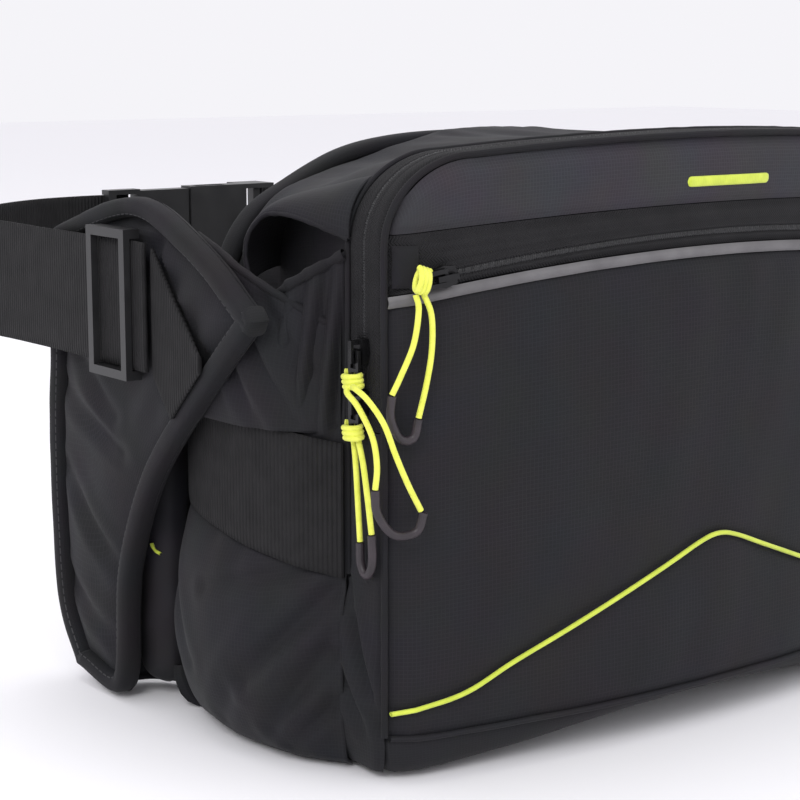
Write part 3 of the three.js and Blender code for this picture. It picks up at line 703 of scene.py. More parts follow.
BAND_FRONT, BAND_REAR = -69.7, -50
BAND_WIDE = BAND_REAR - BAND_FRONT
MAIN_ZIP_FOOT = 131.3


def band_lift(run, across, p):
    gap = abs(across - 0.5) * BAND_WIDE
    edge = min(across, 1 - across) * BAND_WIDE
    groove = -0.75 * math.exp(-(gap / 0.75) ** 2) - 0.2 * math.exp(-((gap - 3.6) / 0.45) ** 2)
    puff = 0.35 * (1 - math.exp(-edge / 2.2)) + 0.12 * ripple(p.x, across, p.z, 24, 3)
    return groove + puff - tucked(edge, 1.7, 1.2)


band = band_rows(MAIN_ZIP_FOOT, 520, BAND_FRONT, BAND_REAR, 40, band_lift)
main_tape = grid_cloth("main_zip_cloth", band, zip_cloth)
part(main_tape, "pack", "zip_tape", "main_zip_tape")
coil_line, coil_out = outline_line(MAIN_ZIP_FOOT, 1500)
coil_spots = [(p.x, -59.85 - forward(p.x), p.z) for p in coil_line]
main_teeth = coil_rows(coil_spots, lambda i: coil_out[i], lambda i: (0, 1, 0), 0.8, 4, 0.12)
main_coil = grid_cloth("main_zip_teeth", main_teeth, zip_nylon)
part(main_coil, "pack", "zip_coil", "main_zip_coil")

# Rolled seams: a fold of shell cloth stands up along both edges of the zip band and down the
# sides of the front panel.
def edge_seam(name, low, y_at, radius, inset=0.0):
    line, outward = outline_line(low, 300, inset)
    centre = [Vector((p.x, y_at(p), p.z)) for p in line]
    seam = rolled_seam(name, centre, radius, binding_cloth, lambda i: outward[i])
    return part(seam, "pack", "binding_tape")


edge_seam("front_edge_seam", 18.6, lambda p: -70.6 - forward(p.x), 1.3, 0.9)
edge_seam("rear_edge_seam", 76, lambda p: -49.8 - forward(p.x), 1.15, 0.3)

# Zip garages: the ends of the main zip run under a folded cover of shell cloth on each side,
# hemmed above and below. Under the cover the side cloth runs on unbroken to the front seam.
def crease(y, z, first, last, wide, depth):
    """A sharp fold between two places on the cloth: a valley with a soft shoulder on each side."""
    a, b = Vector(first), Vector(last)
    run = b - a
    t = min(max((Vector((y, z)) - a).dot(run) / run.length_squared, 0), 1)
    gap = (Vector((y, z)) - a - run * t).length
    fade = 0.35 + 0.65 * math.sin(math.pi * min(max(t, 0.08), 0.92))
    return depth * fade * (0.5 * math.exp(-((gap - 1.9 * wide) / wide) ** 2) - math.exp(-(gap / wide) ** 2))


def side_bag(z, low):
    """How far the side cloth bags out below the webbing, and how it turns in under the base."""
    share = min(max(z / low, 0), 1)
    return 11 * math.sin(math.pi * share) ** 0.75 - 8 * math.exp(-z / 4.5)


def garage_rise(y, z, across):
    edge = min(across, 1 - across) * BAND_WIDE
    if z > 75:
        hems = 0.5 * (math.exp(-((z - 128) / 1.4) ** 2) + math.exp(-((z - 77.5) / 1.5) ** 2))
        fold = 0.5 * math.exp(-((across - 0.34 - 0.0009 * (z - 70)) / 0.06) ** 2)
        soft = 0.4 * ripple(0, y, z, 16, 3) * (1 - math.exp(-edge / 3))
        return 1.2 + hems + fold - tucked(edge, 1.8, 2.0) + soft
    rise = 0.6 + 0.35 * side_bag(z, 75) * across - tucked(across * BAND_WIDE, 2.2, 2.0)
    for fold in (((-51, 72), (-62, 34), 2.8, 2.6), ((-56, 60), (-68, 22), 2.2, 1.8),
                 ((-49, 40), (-60, 20), 2.6, 1.8)):
        rise += crease(y, z, *fold)
    return rise


for side, s in SIDES:
    rows = []
    for z in list(np.linspace(3, 74.6, 60)) + list(np.linspace(75.4, 131, 60)):
        reach = 1 - 0.03 * math.exp(-z / 5)
        row = []
        for i in range(33):
            across = i / 32
            y = BAND_FRONT + BAND_WIDE * across
            x = s * (147.6 + garage_rise(y, z, across)) * reach
            row.append((x, y * (1 - 0.12 * math.exp(-z / 5)), z))
        rows.append(row)
    garage = grid_cloth(f"zip_garage_cover_{side}", rows, shell_cloth)
    part(garage, "pack", "shell_fabric", f"zip_garage_{side}")

# Gusset: the top and sides of the bag behind the zip, sewn narrower to the back panel. The top
# sags a little between its seams.
def gusset_lift(run, across, p):
    edge = min(across, 1 - across) * 105
    top = max(0.0, min((p.z - 190) / 36, 1))
    sag = -2.6 * math.sin(math.pi * across) * top
    folds = 1.7 * ripple(p.x, across * 60, p.z, 34, 2.1)
    folds += 0.8 * ripple(p.x * 1.4, across * 30, p.z, 13, 5.5)
    creases = 0.8 * math.sin(p.x / 7.5 + 3 * across + 2 * ripple(p.x, 0, across * 50, 40, 9)) * top
    return (sag + folds + creases) * (1 - math.exp(-edge / 7)) - tucked(edge, 2.2, 1.3)


gusset = grid_cloth("gusset_cloth", band_rows(18.6, 420, -49.7, 55.7, 60, gusset_lift, 1.0), shell_cloth)
part(gusset, "pack", "shell_fabric", "main_gusset")

# Linings and stiffeners: flat layers inside the bag and in the back panel, cut to its outline.
def flat_layer(name, spots, y, material, wave=0.5, thick=0.0, dome=0.0):
    """A flat cut of cloth or sheet facing back: rings shrink from the outline to its middle."""
    middle = Vector((0, 0, sum(z for _, z in spots) / len(spots)))
    rows = []
    for k in range(13):
        share = 1 - k / 12.2
        row = []
        for x, z in spots:
            p = middle + (Vector((x, 0, z)) - middle) * share
            swell = dome * (1 - math.exp(-(k / 12) * 7))
            row.append((p.x, y + wave * ripple(p.x, y, p.z, 30, y) + swell, p.z))
        rows.append(row)
    return grid_cloth(name, rows, material, closed=True, thick=thick)


def back_outline(inset, count=140):
    half = 141 - inset
    foot, head = 3 + inset, 231 - inset
    right = [(0, foot), (60, foot), (half - 14, foot), (half - 3.5, foot + 3.5), (half, foot + 13),
             (half, 60), (half, 120), (half - 1.2, 150), (half - 8, 178), (half - 20, 198),
             (100 - inset / 2, head - 18), (72, head - 6.5), (40, head - 1), (0, head)]
    loop = right + [(-x, z) for x, z in reversed(right[1:-1])] + right[:1]
    return [(p.x, p.z) for p in smooth_line([(x, 0, z) for x, z in loop], count + 1)[:-1]]


lining_cloth = woven("lining_fabric", (0.010, 0.010, 0.012), (0.014, 0.014, 0.016), check=0.9, crumple=0.5)
divider_line, _ = outline_line(18.6, 160, 4.6)
divider = flat_layer("divider_cloth", [(p.x, p.z) for p in divider_line], -55.4, lining_cloth, 0.3, 0.8)
part(divider, "pack", "lining_fabric", "divider_wall")
back_lining = flat_layer("back_lining_cloth", back_outline(6.4), 56.6, lining_cloth, 0.2, 0.9)
part(back_lining, "pack", "lining_fabric", "back_wall")
sheet_paint, nodes, links, shader = new_material("stiffener_sheet", (0.03, 0.03, 0.032), 0.5)
grain = wire_tint(nodes, links, shader, (0.026, 0.026, 0.028), (0.036, 0.036, 0.038), 0.02)
wire_bump(nodes, links, shader, grain.outputs["Fac"], 0.0002, 0.3)
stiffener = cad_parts["back_stiffener"]
stiffener.data.materials.clear()
stiffener.data.materials.append(sheet_paint)

# Back panel: foam under a smooth cover, bound all round with a wide folded tape, with two raised
# pads of spacer mesh that rest on the wearer's back. A padded roll stands at each side of it,
# tacked with a few bright stitches.
def spacer_mesh(name, dark, light, cell):
    """Open knitted mesh: small round holes between thicker yarns."""
    paint, nodes, links, shader = new_material(name, dark, 0.85)
    holes = texture(nodes, links, "Voronoi", "Object", scale=1 / (cell * MM), randomness=0.12)
    ramp = nodes.new("ShaderNodeValToRGB")
    ramp.color_ramp.elements[0].position = 0.2
    ramp.color_ramp.elements[1].position = 0.5
    ramp.color_ramp.elements[0].color = (*[0.4 * d for d in dark], 1)
    ramp.color_ramp.elements[1].color = (*light, 1)
    links.new(holes.outputs["Distance"], ramp.inputs["Fac"])
    links.new(ramp.outputs["Color"], shader.inputs["Base Color"])
    wire_bump(nodes, links, shader, holes.outputs["Distance"], 0.0007, 0.9)
    shader.inputs["Sheen Weight"].default_value = 0.03
    return paint


pad_mesh = spacer_mesh("spacer_mesh", (0.010, 0.010, 0.012), (0.022, 0.022, 0.025), 2.6)
foam_cover = spacer_mesh("foam", (0.008, 0.008, 0.009), (0.014, 0.014, 0.016), 1.7)


def settle(piece):
    """The piece keeps the shape its modifiers gave it, and they are taken off."""
    ready = piece.evaluated_get(bpy.context.evaluated_depsgraph_get())
    mesh = bpy.data.meshes.new_from_object(ready)
    piece.modifiers.clear()
    piece.data = mesh


def stuffed(name, source, material, shrink, cap, pressure=4.0):
    """A filled cover: the shape is remeshed a little small, swollen by cloth pressure and capped."""
    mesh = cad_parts[source].data.copy()
    mesh.name = name
    mesh.materials.clear()
    mesh.materials.append(material)
    piece = bpy.data.objects.new(name, mesh)
    piece.matrix_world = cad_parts[source].matrix_world.copy()
    bpy.context.collection.objects.link(piece)
    bpy.context.view_layer.objects.active = piece
    piece.select_set(True)
    bpy.ops.object.transform_apply(location=True, rotation=True, scale=True)
    piece.select_set(False)
    voxels = piece.modifiers.new("remesh", "REMESH")
    voxels.mode = "VOXEL"
    voxels.voxel_size = 0.0045
    settle(piece)
    start = np.array([v.co[:] for v in piece.data.vertices])
    normals = np.array([v.normal[:] for v in piece.data.vertices])
    small = start - normals * shrink * MM
    piece.data.vertices.foreach_set("co", small.ravel())
    piece.data.update()
    cover = piece.modifiers.new("cover", "CLOTH")
    cover.settings.use_pressure = True
    cover.settings.uniform_pressure_force = pressure
    cover.settings.effector_weights.gravity = 0
    cover.settings.shear_stiffness = 5
    cover.point_cache.frame_start = 1
    cover.point_cache.frame_end = 20
    for step in range(1, 21):
        bpy.context.scene.frame_set(step)
    settle(piece)
    bpy.context.scene.frame_set(1)
    swollen = np.array([v.co[:] for v in piece.data.vertices])
    move = swollen - small
    far = np.linalg.norm(move, axis=1, keepdims=True)
    swollen = small + move * np.minimum(1, cap * MM / np.maximum(far, 1e-9))
    piece.data.vertices.foreach_set("co", swollen.ravel())
    piece.data.update()
    finer = piece.modifiers.new("finer", "SUBSURF")
    finer.levels = finer.render_levels = 1
    settle(piece)
    piece.data.polygons.foreach_set("use_smooth", [True] * len(piece.data.polygons))
    return piece


def reshape(piece, change):
    """Moves every point of a finished cover, in millimetres."""
    for v in piece.data.vertices:
        v.co = change(v.co / MM) * MM
    piece.data.update()


foam_face = flat_layer("back_foam_cover", back_outline(6), 63.2, foam_cover, 0.8, 0.0, 2.2)
part(foam_face, "pack", "foam", "back_foam")

binding_path = [Vector((x, 61, z)) for x, z in back_outline(3.2, 260)]


def binding_section(wide, thick, lumps):
    def section(i):
        swell = 1 + lumps * ripple(i * 0.9, 3, 0, 4)
        return [(wide * math.copysign(abs(math.cos(a)) ** 0.7, math.cos(a)) * swell,
                 thick * math.copysign(abs(math.sin(a)) ** 0.7, math.sin(a)) * swell)
                for a in np.linspace(0, 2 * math.pi, 17)[:-1]]
    return section


def binding_frame(i):
    run = along(binding_path, i, True)
    side = Vector((0, 1, 0))
    return side, run.cross(side).normalized()


rows = tube_rows(binding_path, binding_section(5.2, 3.2, 0.05), binding_frame)
rows.append(rows[0])
back_binding = grid_cloth("back_binding_tape", rows, binding_cloth, closed=True)
part(back_binding, "pack", "binding_tape", "back_binding")

for side, s in SIDES:
    pad = stuffed(f"back_pad_cover_{side}", f"back_pad_{side}", pad_mesh, 1.6, 5)
    middle_x = s * 64

    def pad_shape(p, middle_x=middle_x):
        across, up = abs(p.x - middle_x) / 52, abs(p.z - 104) / 79
        rim = max(across, up)
        crown = 1.6 * (1 - min(rim, 1) ** 4)
        channel = 2.4 * math.exp(-((p.z - 104) / 3.2) ** 2) * (across < 0.95)
        y = p.y + (crown - channel if p.y > 68 else 0)
        return Vector((p.x, max(y, 64.5), p.z))

    reshape(pad, pad_shape)
    part(pad, "pack", "spacer_mesh", f"back_pad_{side}")
    roll = stuffed(f"back_roll_cover_{side}", f"back_roll_{side}", base_cloth, 1.5, 6)

    def roll_shape(p, s=s):
        creases = 0.7 * math.sin(p.z / 4.6 + 2 * ripple(p.x, p.y, p.z, 20, 3))
        creases += 0.8 * ripple(p.x, p.y, p.z, 14, 6)
        out = Vector((p.x - s * 153.6, p.y - 68, 0))
        if out.length > 0.01:
            out.normalize()
        fuller = Vector((s * (142.6 + (abs(p.x) - 142.6) * 1.1), 57 + (p.y - 57) * 1.4, p.z - 1.5))
        return fuller + out * creases * 0.6

    reshape(roll, roll_shape)
    part(roll, "pack", "shell_fabric", f"back_roll_{side}")
    tack = []
    tack_route = [(s * 163.9, 66.2, 66.6), (s * 163.2, 65.0, 64.0), (s * 161.8, 62.8, 62.4)]
    for spot in smooth_line(tack_route, 12):
        _, touch, outward, _ = roll.closest_point_on_mesh(spot * MM)
        tack.append(touch / MM + outward * 0.4)
    bartack = rolled_seam(f"back_roll_bartack_{side}", tack, 0.75, bright_tape,
                          lambda i, s=s: (s, 0, 0), 0.3)
    part(bartack, "pack", "lime_piping")

# Side pockets: an open pouch of shell cloth on each side, pulled in by the belt webbing sewn
# across it. Below the webbing the cloth bags out; above it, it gathers in upright pleats to a
# slanting elastic hem. A lining closes it towards the bag, and a hemmed hood stands over its mouth.
POCKET_PLAN = [(149.2, -49.6), (160, -30), (165.5, 3), (161.5, 34), (149, 55.4)]
WEB_WIDE = 50
FLAP_ROOT = [(136.5, -51, 221), (134.8, -38, 219), (132.5, -24, 216.5), (130, -8, 213.5), (128.3, 2, 210),
             (128.4, 9, 204), (130.5, 13, 197), (132, 15, 190), (133, 16, 183)]
FLAP_HEM = [(148.6, -52, 199), (151, -41, 202), (153.5, -27, 205), (155, -14, 206.5), (156, -6, 205),
            (158, -2, 198), (160, -3, 190), (162, -7, 183), (163.5, -13, 177)]
SIDE_FRONT, SIDE_TAPER, POCKET_FROM, POCKET_DEEP = 148.2, 22, -48, 102


def mouth_z(y):
    return float(np.interp(y, [-52, -20, 57], [197, 176, 158]))


def web_low(y):
    return 75 + (y + 49.2) * 15 / 95.2


def pocket_lift(y, z, share):
    """How far the pouch stands out from its plan, front at share 0 and back at share 1."""
    ends = math.sin(math.pi * min(max(share, 0), 1)) ** 0.6
    low, top = web_low(y), web_low(y) + WEB_WIDE
    pleats = math.sin(y / 3.4 + 1.6 * ripple(0, y, z * 0.3, 25, 2))
    if z < low:
        front = 0.35 * (1 - share) ** 3
        weight = max(ends, front) * (0.82 + 0.42 * share)
        lift = side_bag(z, low) * weight if z > 6 else side_bag(z, low)
        lift += (0.8 * pleats * math.exp(-(low - z) / 14) + 1.6 * ripple(0, y * 0.8, z, 40, 1)) * ends
        for fold in (((-46, 70), (-14, 30), 3.6, 3.4), ((-40, 78), (10, 62), 3.0, 1.8),
                     ((-44, 46), (-24, 14), 3.4, 2.8), ((50, 76), (20, 30), 4.0, 2.0),
                     ((-48, 28), (-30, 8), 2.6, 2.0), ((-30, 60), (4, 12), 4.5, 1.8)):
            lift += crease(y, z, *fold)
        return lift
    if z > top:
        above = z - top
        lift = (4.4 * (1 - math.exp(-above / 12)) - 1.2 * math.exp(-((mouth_z(y) - z) / 6) ** 2)) * ends
        lift += (1.1 * pleats * math.exp(-above / 16) + 1.6 * ripple(0, y, z * 0.4, 17, 4)) * ends
        for fold in (((-50, 192), (-46, 128), 2.2, 3.4), ((-45, 192), (-38, 128), 2.4, 4.2),
                     ((-37, 184), (-30, 128), 2.4, 3.4), ((-28, 180), (-8, 130), 3.4, 2.6),
                     ((-20, 176), (16, 138), 3.6, 2.2), ((8, 168), (40, 146), 3.6, 2.0)):
            lift += crease(y, z, *fold) * min(1, above / 5)
        return lift
    return 0.0


for side, s in SIDES:
    plan = smooth_line([(s * x, y, 0) for x, y in POCKET_PLAN], 101)
    outs = [Vector((s * along(plan, i).y, -s * along(plan, i).x, 0)) for i in range(101)]
    rows = []
    for j in range(121):
        row = []
        for i, (p, out) in enumerate(zip(plan, outs)):
            z = 1.5 + (mouth_z(p.y) - 2.5) * j / 120
            row.append(Vector((p.x, p.y, z)) + out * (pocket_lift(p.y, z, i / 100) - 0.9))
        rows.append(row)
    pouch = grid_cloth(f"side_pocket_cloth_{side}", rows, shell_cloth, thick=0.8)
    part(pouch, "pack", "shell_fabric", f"side_pocket_{side}")
    hem_line = rows[-1]
    hem = rolled_seam(f"side_pocket_hem_{side}", [p + Vector((0, 0, -0.8)) for p in hem_line], 2.1,
                      binding_cloth, lambda i, outs=outs: outs[i], 0.3)
    part(hem, "pack", "binding_tape")
    lining_rows = []
    for j in range(41):
        row = []
        for i in range(31):
            share = i / 30
            x, y = s * (SIDE_FRONT - SIDE_TAPER * share), POCKET_FROM + POCKET_DEEP * share
            z = 19 + (mouth_z(y) - 4 - 19) * j / 40
            sag = 1.2 * math.sin(math.pi * share)
            row.append((x + s * (1.6 + sag + 0.8 * ripple(x, y, z, 25, 6)), y, z))
        lining_rows.append(row)
    pocket_back = grid_cloth(f"side_pocket_lining_{side}", lining_rows, lining_cloth)
    part(pocket_back, "pack", "lining_fabric")
    floor_rows = []
    for inward_share in (0.04, 0.3, 0.6, 1.0):
        row = []
        for k in range(0, 101, 4):
            bag_side = s * (SIDE_FRONT + 0.3 - SIDE_TAPER * k / 100), POCKET_FROM + POCKET_DEEP * k / 100, 0
            sag = Vector((0, 0, 20.5 + 0.8 * ripple(k * 1.0, inward_share * 20, 0, 18, 2)))
            row.append(plan[k].lerp(Vector(bag_side), inward_share) + sag)
        floor_rows.append(row)
    pocket_floor = grid_cloth(f"side_pocket_floor_{side}", floor_rows, lining_cloth)
    part(pocket_floor, "pack", "lining_fabric")
    roots = smooth_line(FLAP_ROOT, 81)
    edges = smooth_line(FLAP_HEM, 81)
    flap_rows = []
    for j in range(29):
        fall = j / 28
        row = []
        for i, (root_at, edge_at) in enumerate(zip(roots, edges)):
            out = math.sin(fall * math.pi / 2)
            wave = (1.3 * ripple(i / 3, 0, fall * 16, 9, 5) + 0.8 * math.sin(i / 5.5 + 3 * fall)) * fall
            x = root_at.x + (edge_at.x - root_at.x) * out + wave
            y = root_at.y + (edge_at.y - root_at.y) * fall
            z = root_at.z + (edge_at.z - root_at.z) * fall ** 1.5 + 0.6 * wave
            row.append((s * x, y, z))
        flap_rows.append(row)
    flap = grid_cloth(f"side_pocket_flap_{side}", flap_rows, shell_cloth, thick=0.7)
    part(flap, "pack", "shell_fabric")
    flap_hem = rolled_seam(f"side_pocket_flap_hem_{side}", [Vector(p) for p in flap_rows[-1]], 0.9,
                           binding_cloth, lambda i, s=s: (s, 0, 0.2), 0.4)
    part(flap_hem, "pack", "binding_tape")

# Side webbing: 50 mm ribbed belt webbing sewn into the rear zip seam and across each pouch. It
# runs on inside the wing behind it.
def ribbed_webbing():
    paint, nodes, links, shader = new_material("webbing", (0.008, 0.0078, 0.0085), 0.8)
    wire_tint(nodes, links, shader, (0.0065, 0.0062, 0.007), (0.0125, 0.012, 0.013), 0.008)
    ribs = texture(nodes, links, "Wave", "UV", scale=0.165, distortion=0.25, detail_scale=3)
    yarn = texture(nodes, links, "Wave", "UV", scale=0.5)
    yarn.bands_direction = "Y"
    fine = nodes.new("ShaderNodeBump")
    fine.inputs["Distance"].default_value = 0.0001
    fine.inputs["Strength"].default_value = 0.6
    links.new(yarn.outputs["Fac"], fine.inputs["Height"])
    coarse = nodes.new("ShaderNodeBump")
    coarse.inputs["Distance"].default_value = 0.0006
    coarse.inputs["Strength"].default_value = 0.9
    links.new(ribs.outputs["Fac"], coarse.inputs["Height"])
    links.new(fine.outputs["Normal"], coarse.inputs["Normal"])
    links.new(coarse.outputs["Normal"], shader.inputs["Normal"])
    shader.inputs["Specular IOR Level"].default_value = 0.3
    return paint


webbing = ribbed_webbing()


def ribbon(name, spots, outward, low, high, body, thick=1.5, *nodes, steps=14):
    """Flat webbing standing on edge: its run follows the spots, between a low and a high edge."""
    rows = []
    for j in range(steps + 1):
        share = j / steps
        rim = math.exp(-min(share, 1 - share) * WEB_WIDE / 1.2)
        row = []
        for i, p in enumerate(spots):
            spot = Vector((p[0], p[1], low(i) + (high(i) - low(i)) * share))
            row.append(spot - Vector(outward(i)) * rim * 0.35)
        rows.append(row)
    band = grid_cloth(name, rows, webbing, thick=thick)
    return part(band, body, "webbing", *nodes)


for side, s in SIDES:
    plan = smooth_line([(s * x, y, 0) for x, y in POCKET_PLAN], 141)
    outs = [Vector((s * along(plan, i).y, -s * along(plan, i).x, 0)) for i in range(141)]
    run = [k for k in range(141) if plan[k].y < 46]
    spots = [plan[k] + outs[k] * (1.6 + 0.35 * ripple(0, plan[k].y, 0, 22, s)) for k in run]
    ribbon(f"side_webbing_band_{side}", spots, lambda i, outs=outs, run=run: outs[run[i]],
           lambda i, spots=spots: web_low(spots[i].y) + 0.4 * ripple(spots[i].y, 0, 0, 20),
           lambda i, spots=spots: web_low(spots[i].y) + WEB_WIDE - 0.4 * ripple(0, spots[i].y, 0, 20),
           "pack", 1.5, f"side_webbing_{side}", steps=20)

# Hip wings: a padded flap stands out from each side and goes on round the wearer's hip. Each has
# a gathered face cloth, a mesh lining, foam between them and a wide bound edge with one stitch
# line; its tail of belt webbing is sewn slantwise across the face.
WING_INNER = ((-44, 170), (-40, 170.5), (-15, 171.2), (15, 170.6), (40, 168.7), (60, 168), (127, 168))
WING_TOP = [(-36, 170), (-8, 189), (24, 203), (50, 209), (76, 206), (104, 198), (124, 192)]
WING_FOOT = [(-36, 170), (5, 133), (42, 98), (64, 56), (72, 5), (110, 6)]
WING_TAIL = [(124, 192), (126, 143), (129, 110), (129, 70), (125, 30), (110, 6)]


def wing_x(y):
    return float(np.interp(y, *zip(*WING_INNER)))


def flat_line(points, count):
    return [(p.x, p.y) for p in smooth_line([(u, v, 0) for u, v in points], count)]


wing_loop = flat_line(WING_TOP, 70)[:-1] + flat_line(WING_TAIL, 60)[:-1]
wing_loop += list(reversed(flat_line(WING_FOOT, 100)))[:-1]
wing_ring = np.array(wing_loop)
wing_top_line = flat_line(WING_TOP, 101)
wing_foot_line = flat_line(WING_FOOT, 101)


def inside_wing(y, z):
    """How deep a place lies inside the wing's outline, in millimetres."""
    return float(np.min(np.hypot(wing_ring[:, 0] - y, wing_ring[:, 1] - z)))


def wing_place(t, k):
    """A place on the wing: t runs from its front tip to its tail, k from its top to its foot."""
    top = wing_top_line[round(t * 100)]
    foot = wing_foot_line[round(t * 100)]
    y, z = top[0] + (foot[0] - top[0]) * k, top[1] + (foot[1] - top[1]) * k
    tail = float(np.interp(-z, [-p[1] for p in WING_TAIL], [p[0] for p in WING_TAIL]))
    return y + max(tail - 124 + 14 * k, 0) * t ** 8, z


def sewn_low(y):
    return 78 + (y + 30)


def wing_face_lift(y, z, deep):
    """The face stands out over the foam and gathers beside the sewn webbing."""
    band = z - sewn_low(y)
    beside = min(abs(band), abs(band - WEB_WIDE))
    under_web = 0 < band < WEB_WIDE and y < 32
    lift = 3.0 + 6.6 * (1 - math.exp(-max(deep - 5, 0) / 9))
    if under_web:
        return lift - 1.4 * min(1, beside / 3)
    run = y * 0.75 + z * 0.66
    pleats = math.sin(run / 3.1 + 2.4 * ripple(0, y, z, 34, 3)) * math.exp(-beside / 22)
    lift += (1.3 * pleats + 1.5 * ripple(0, y, z, 26, 7)) * (1 - math.exp(-max(deep - 6, 0) / 5))
    for fold in (((76, 56), (116, 92), 4.0, 2.2), ((80, 26), (120, 44), 4.0, 2.0),
                 ((66, 106), (120, 128), 4.0, 1.8), ((34, 192), (72, 188), 3.0, 1.3),
                 ((70, 120), (112, 150), 3.6, 1.6)):
        lift += crease(y, z, *fold)
    return lift


def wing_lining_lift(y, z, deep):
    return 3.0 - 3.4 * (1 - math.exp(-max(deep - 5, 0) / 9)) + 0.7 * ripple(0, y, z, 22)


def wing_sheet(name, s, material, lift):
    rows = []
    for j in range(71):
        row = []
        for i in range(101):
            y, z = wing_place(i / 100, j / 70)
            row.append((s * (wing_x(y) + lift(y, z, inside_wing(y, z))), y, z))
        rows.append(row)
    return grid_cloth(name, rows, material)


def edge_band(name, loop, place, wide, thick, material, lumps=0.05):
    """Folded tape round an edge: a soft flattened tube that follows the loop on its curved plan."""
    centre = [Vector(place(y, z)) for y, z in loop]
    section = binding_section(wide, thick, lumps)

    def frame_at(i):
        run = along(centre, i, True)
        out = Vector((1, 0, 0))
        return run.cross(out).normalized(), out
    rows = tube_rows(centre, section, frame_at)
    rows.append(rows[0])
    return grid_cloth(name, rows, material, closed=True)


def inward(loop, distance):
    spots = [Vector((y, z, 0)) for y, z in loop]
    pulled = []
    for i, p in enumerate(spots):
        run = along(spots, i, True)
        pulled.append((p.x + run.y * distance, p.y - run.x * distance))
    return pulled


def stitches(name, loop, place, long, gap, thread, material):
    """A row of short thread stitches along a line, each a small raised stroke."""
    centre = [Vector(place(y, z)) for y, z in loop]
    total = line_length(centre + centre[:1])
    line = smooth_line(centre + centre[:1], int(total / 0.5))
    step, stroke = int(round((long + gap) / 0.5)), int(round(long / 0.5))
    mesh = bmesh.new()
    for start in range(0, len(line) - stroke, step):
        first, last = line[start] * MM, line[start + stroke] * MM
        run = last - first
        made = bmesh.ops.create_cone(mesh, cap_ends=True, segments=6, radius1=thread * MM,
                                     radius2=thread * MM, depth=run.length)
        turn = run.to_track_quat("Z", "Y").to_matrix().to_4x4()
        turn.translation = (first + last) / 2
        bmesh.ops.transform(mesh, matrix=turn, verts=made["verts"])
    data = bpy.data.meshes.new(name)
    mesh.to_mesh(data)
    mesh.free()
    data.materials.append(material)
    piece = bpy.data.objects.new(name, data)
    bpy.context.collection.objects.link(piece)
    return piece


thread_paint, nodes, links, shader = new_material("sewing_thread", (0.014, 0.014, 0.016), 0.55)
grain = wire_tint(nodes, links, shader, (0.012, 0.012, 0.014), (0.024, 0.024, 0.027), 0.003)
wire_bump(nodes, links, shader, grain.outputs["Fac"], 0.0001, 0.5)

for side, s in SIDES:
    pad = stuffed(f"wing_foam_cover_{side}", f"wing_foam_{side}", foam_cover, 1.0, 2.0, 2.0)

    def between_cloths(p, s=s):
        deep = inside_wing(p.y, p.z)
        room = wing_lining_lift(p.y, p.z, deep) + 0.8, wing_face_lift(p.y, p.z, deep) - 1.0
        return Vector((s * (wing_x(p.y) + min(max(abs(p.x) - wing_x(p.y), room[0]), room[1])), p.y, p.z))

    reshape(pad, between_cloths)
    part(pad, "pack", "foam", f"wing_foam_{side}")
    face = wing_sheet(f"wing_face_cloth_{side}", s, shell_cloth, wing_face_lift)
    part(face, "pack", "shell_fabric", f"wing_face_{side}")
    lining = wing_sheet(f"wing_lining_cloth_{side}", s, pad_mesh, wing_lining_lift)
    part(lining, "pack", "spacer_mesh", f"wing_lining_{side}")
    band = edge_band(f"wing_edge_tape_{side}", inward(wing_loop, 4.0),
                     lambda y, z, s=s: (s * (wing_x(y) + 5), y, z), 4.0, 4.9, binding_cloth)
    part(band, "pack", "binding_tape", f"wing_binding_{side}")
    sewing = stitches(f"wing_edge_stitches_{side}", inward(wing_loop, 6.6),
                      lambda y, z, s=s: (s * (wing_x(y) + 9.1), y, z), 2.4, 1.1, 0.3, thread_paint)
    part(sewing, "pack", "binding_tape")
    run_y = np.linspace(-4, 33, 70)
    spots = [(s * (wing_x(y) + 11.1 + 0.3 * ripple(y, 0, 0, 14, s)), y) for y in run_y]

    def tail_low(i):
        foot = float(np.interp(run_y[i], *zip(*WING_FOOT[:5])))
        return max(sewn_low(run_y[i]), foot + 7)

    def tail_high(i):
        top = float(np.interp(run_y[i], *zip(*WING_TOP)))
        return min(sewn_low(run_y[i]) + WEB_WIDE, top - 7)

    ribbon(f"wing_webbing_band_{side}", spots, lambda i, s=s: (s, 0, 0), tail_low, tail_high, "pack", 1.5,
           f"wing_webbing_{side}", steps=18)

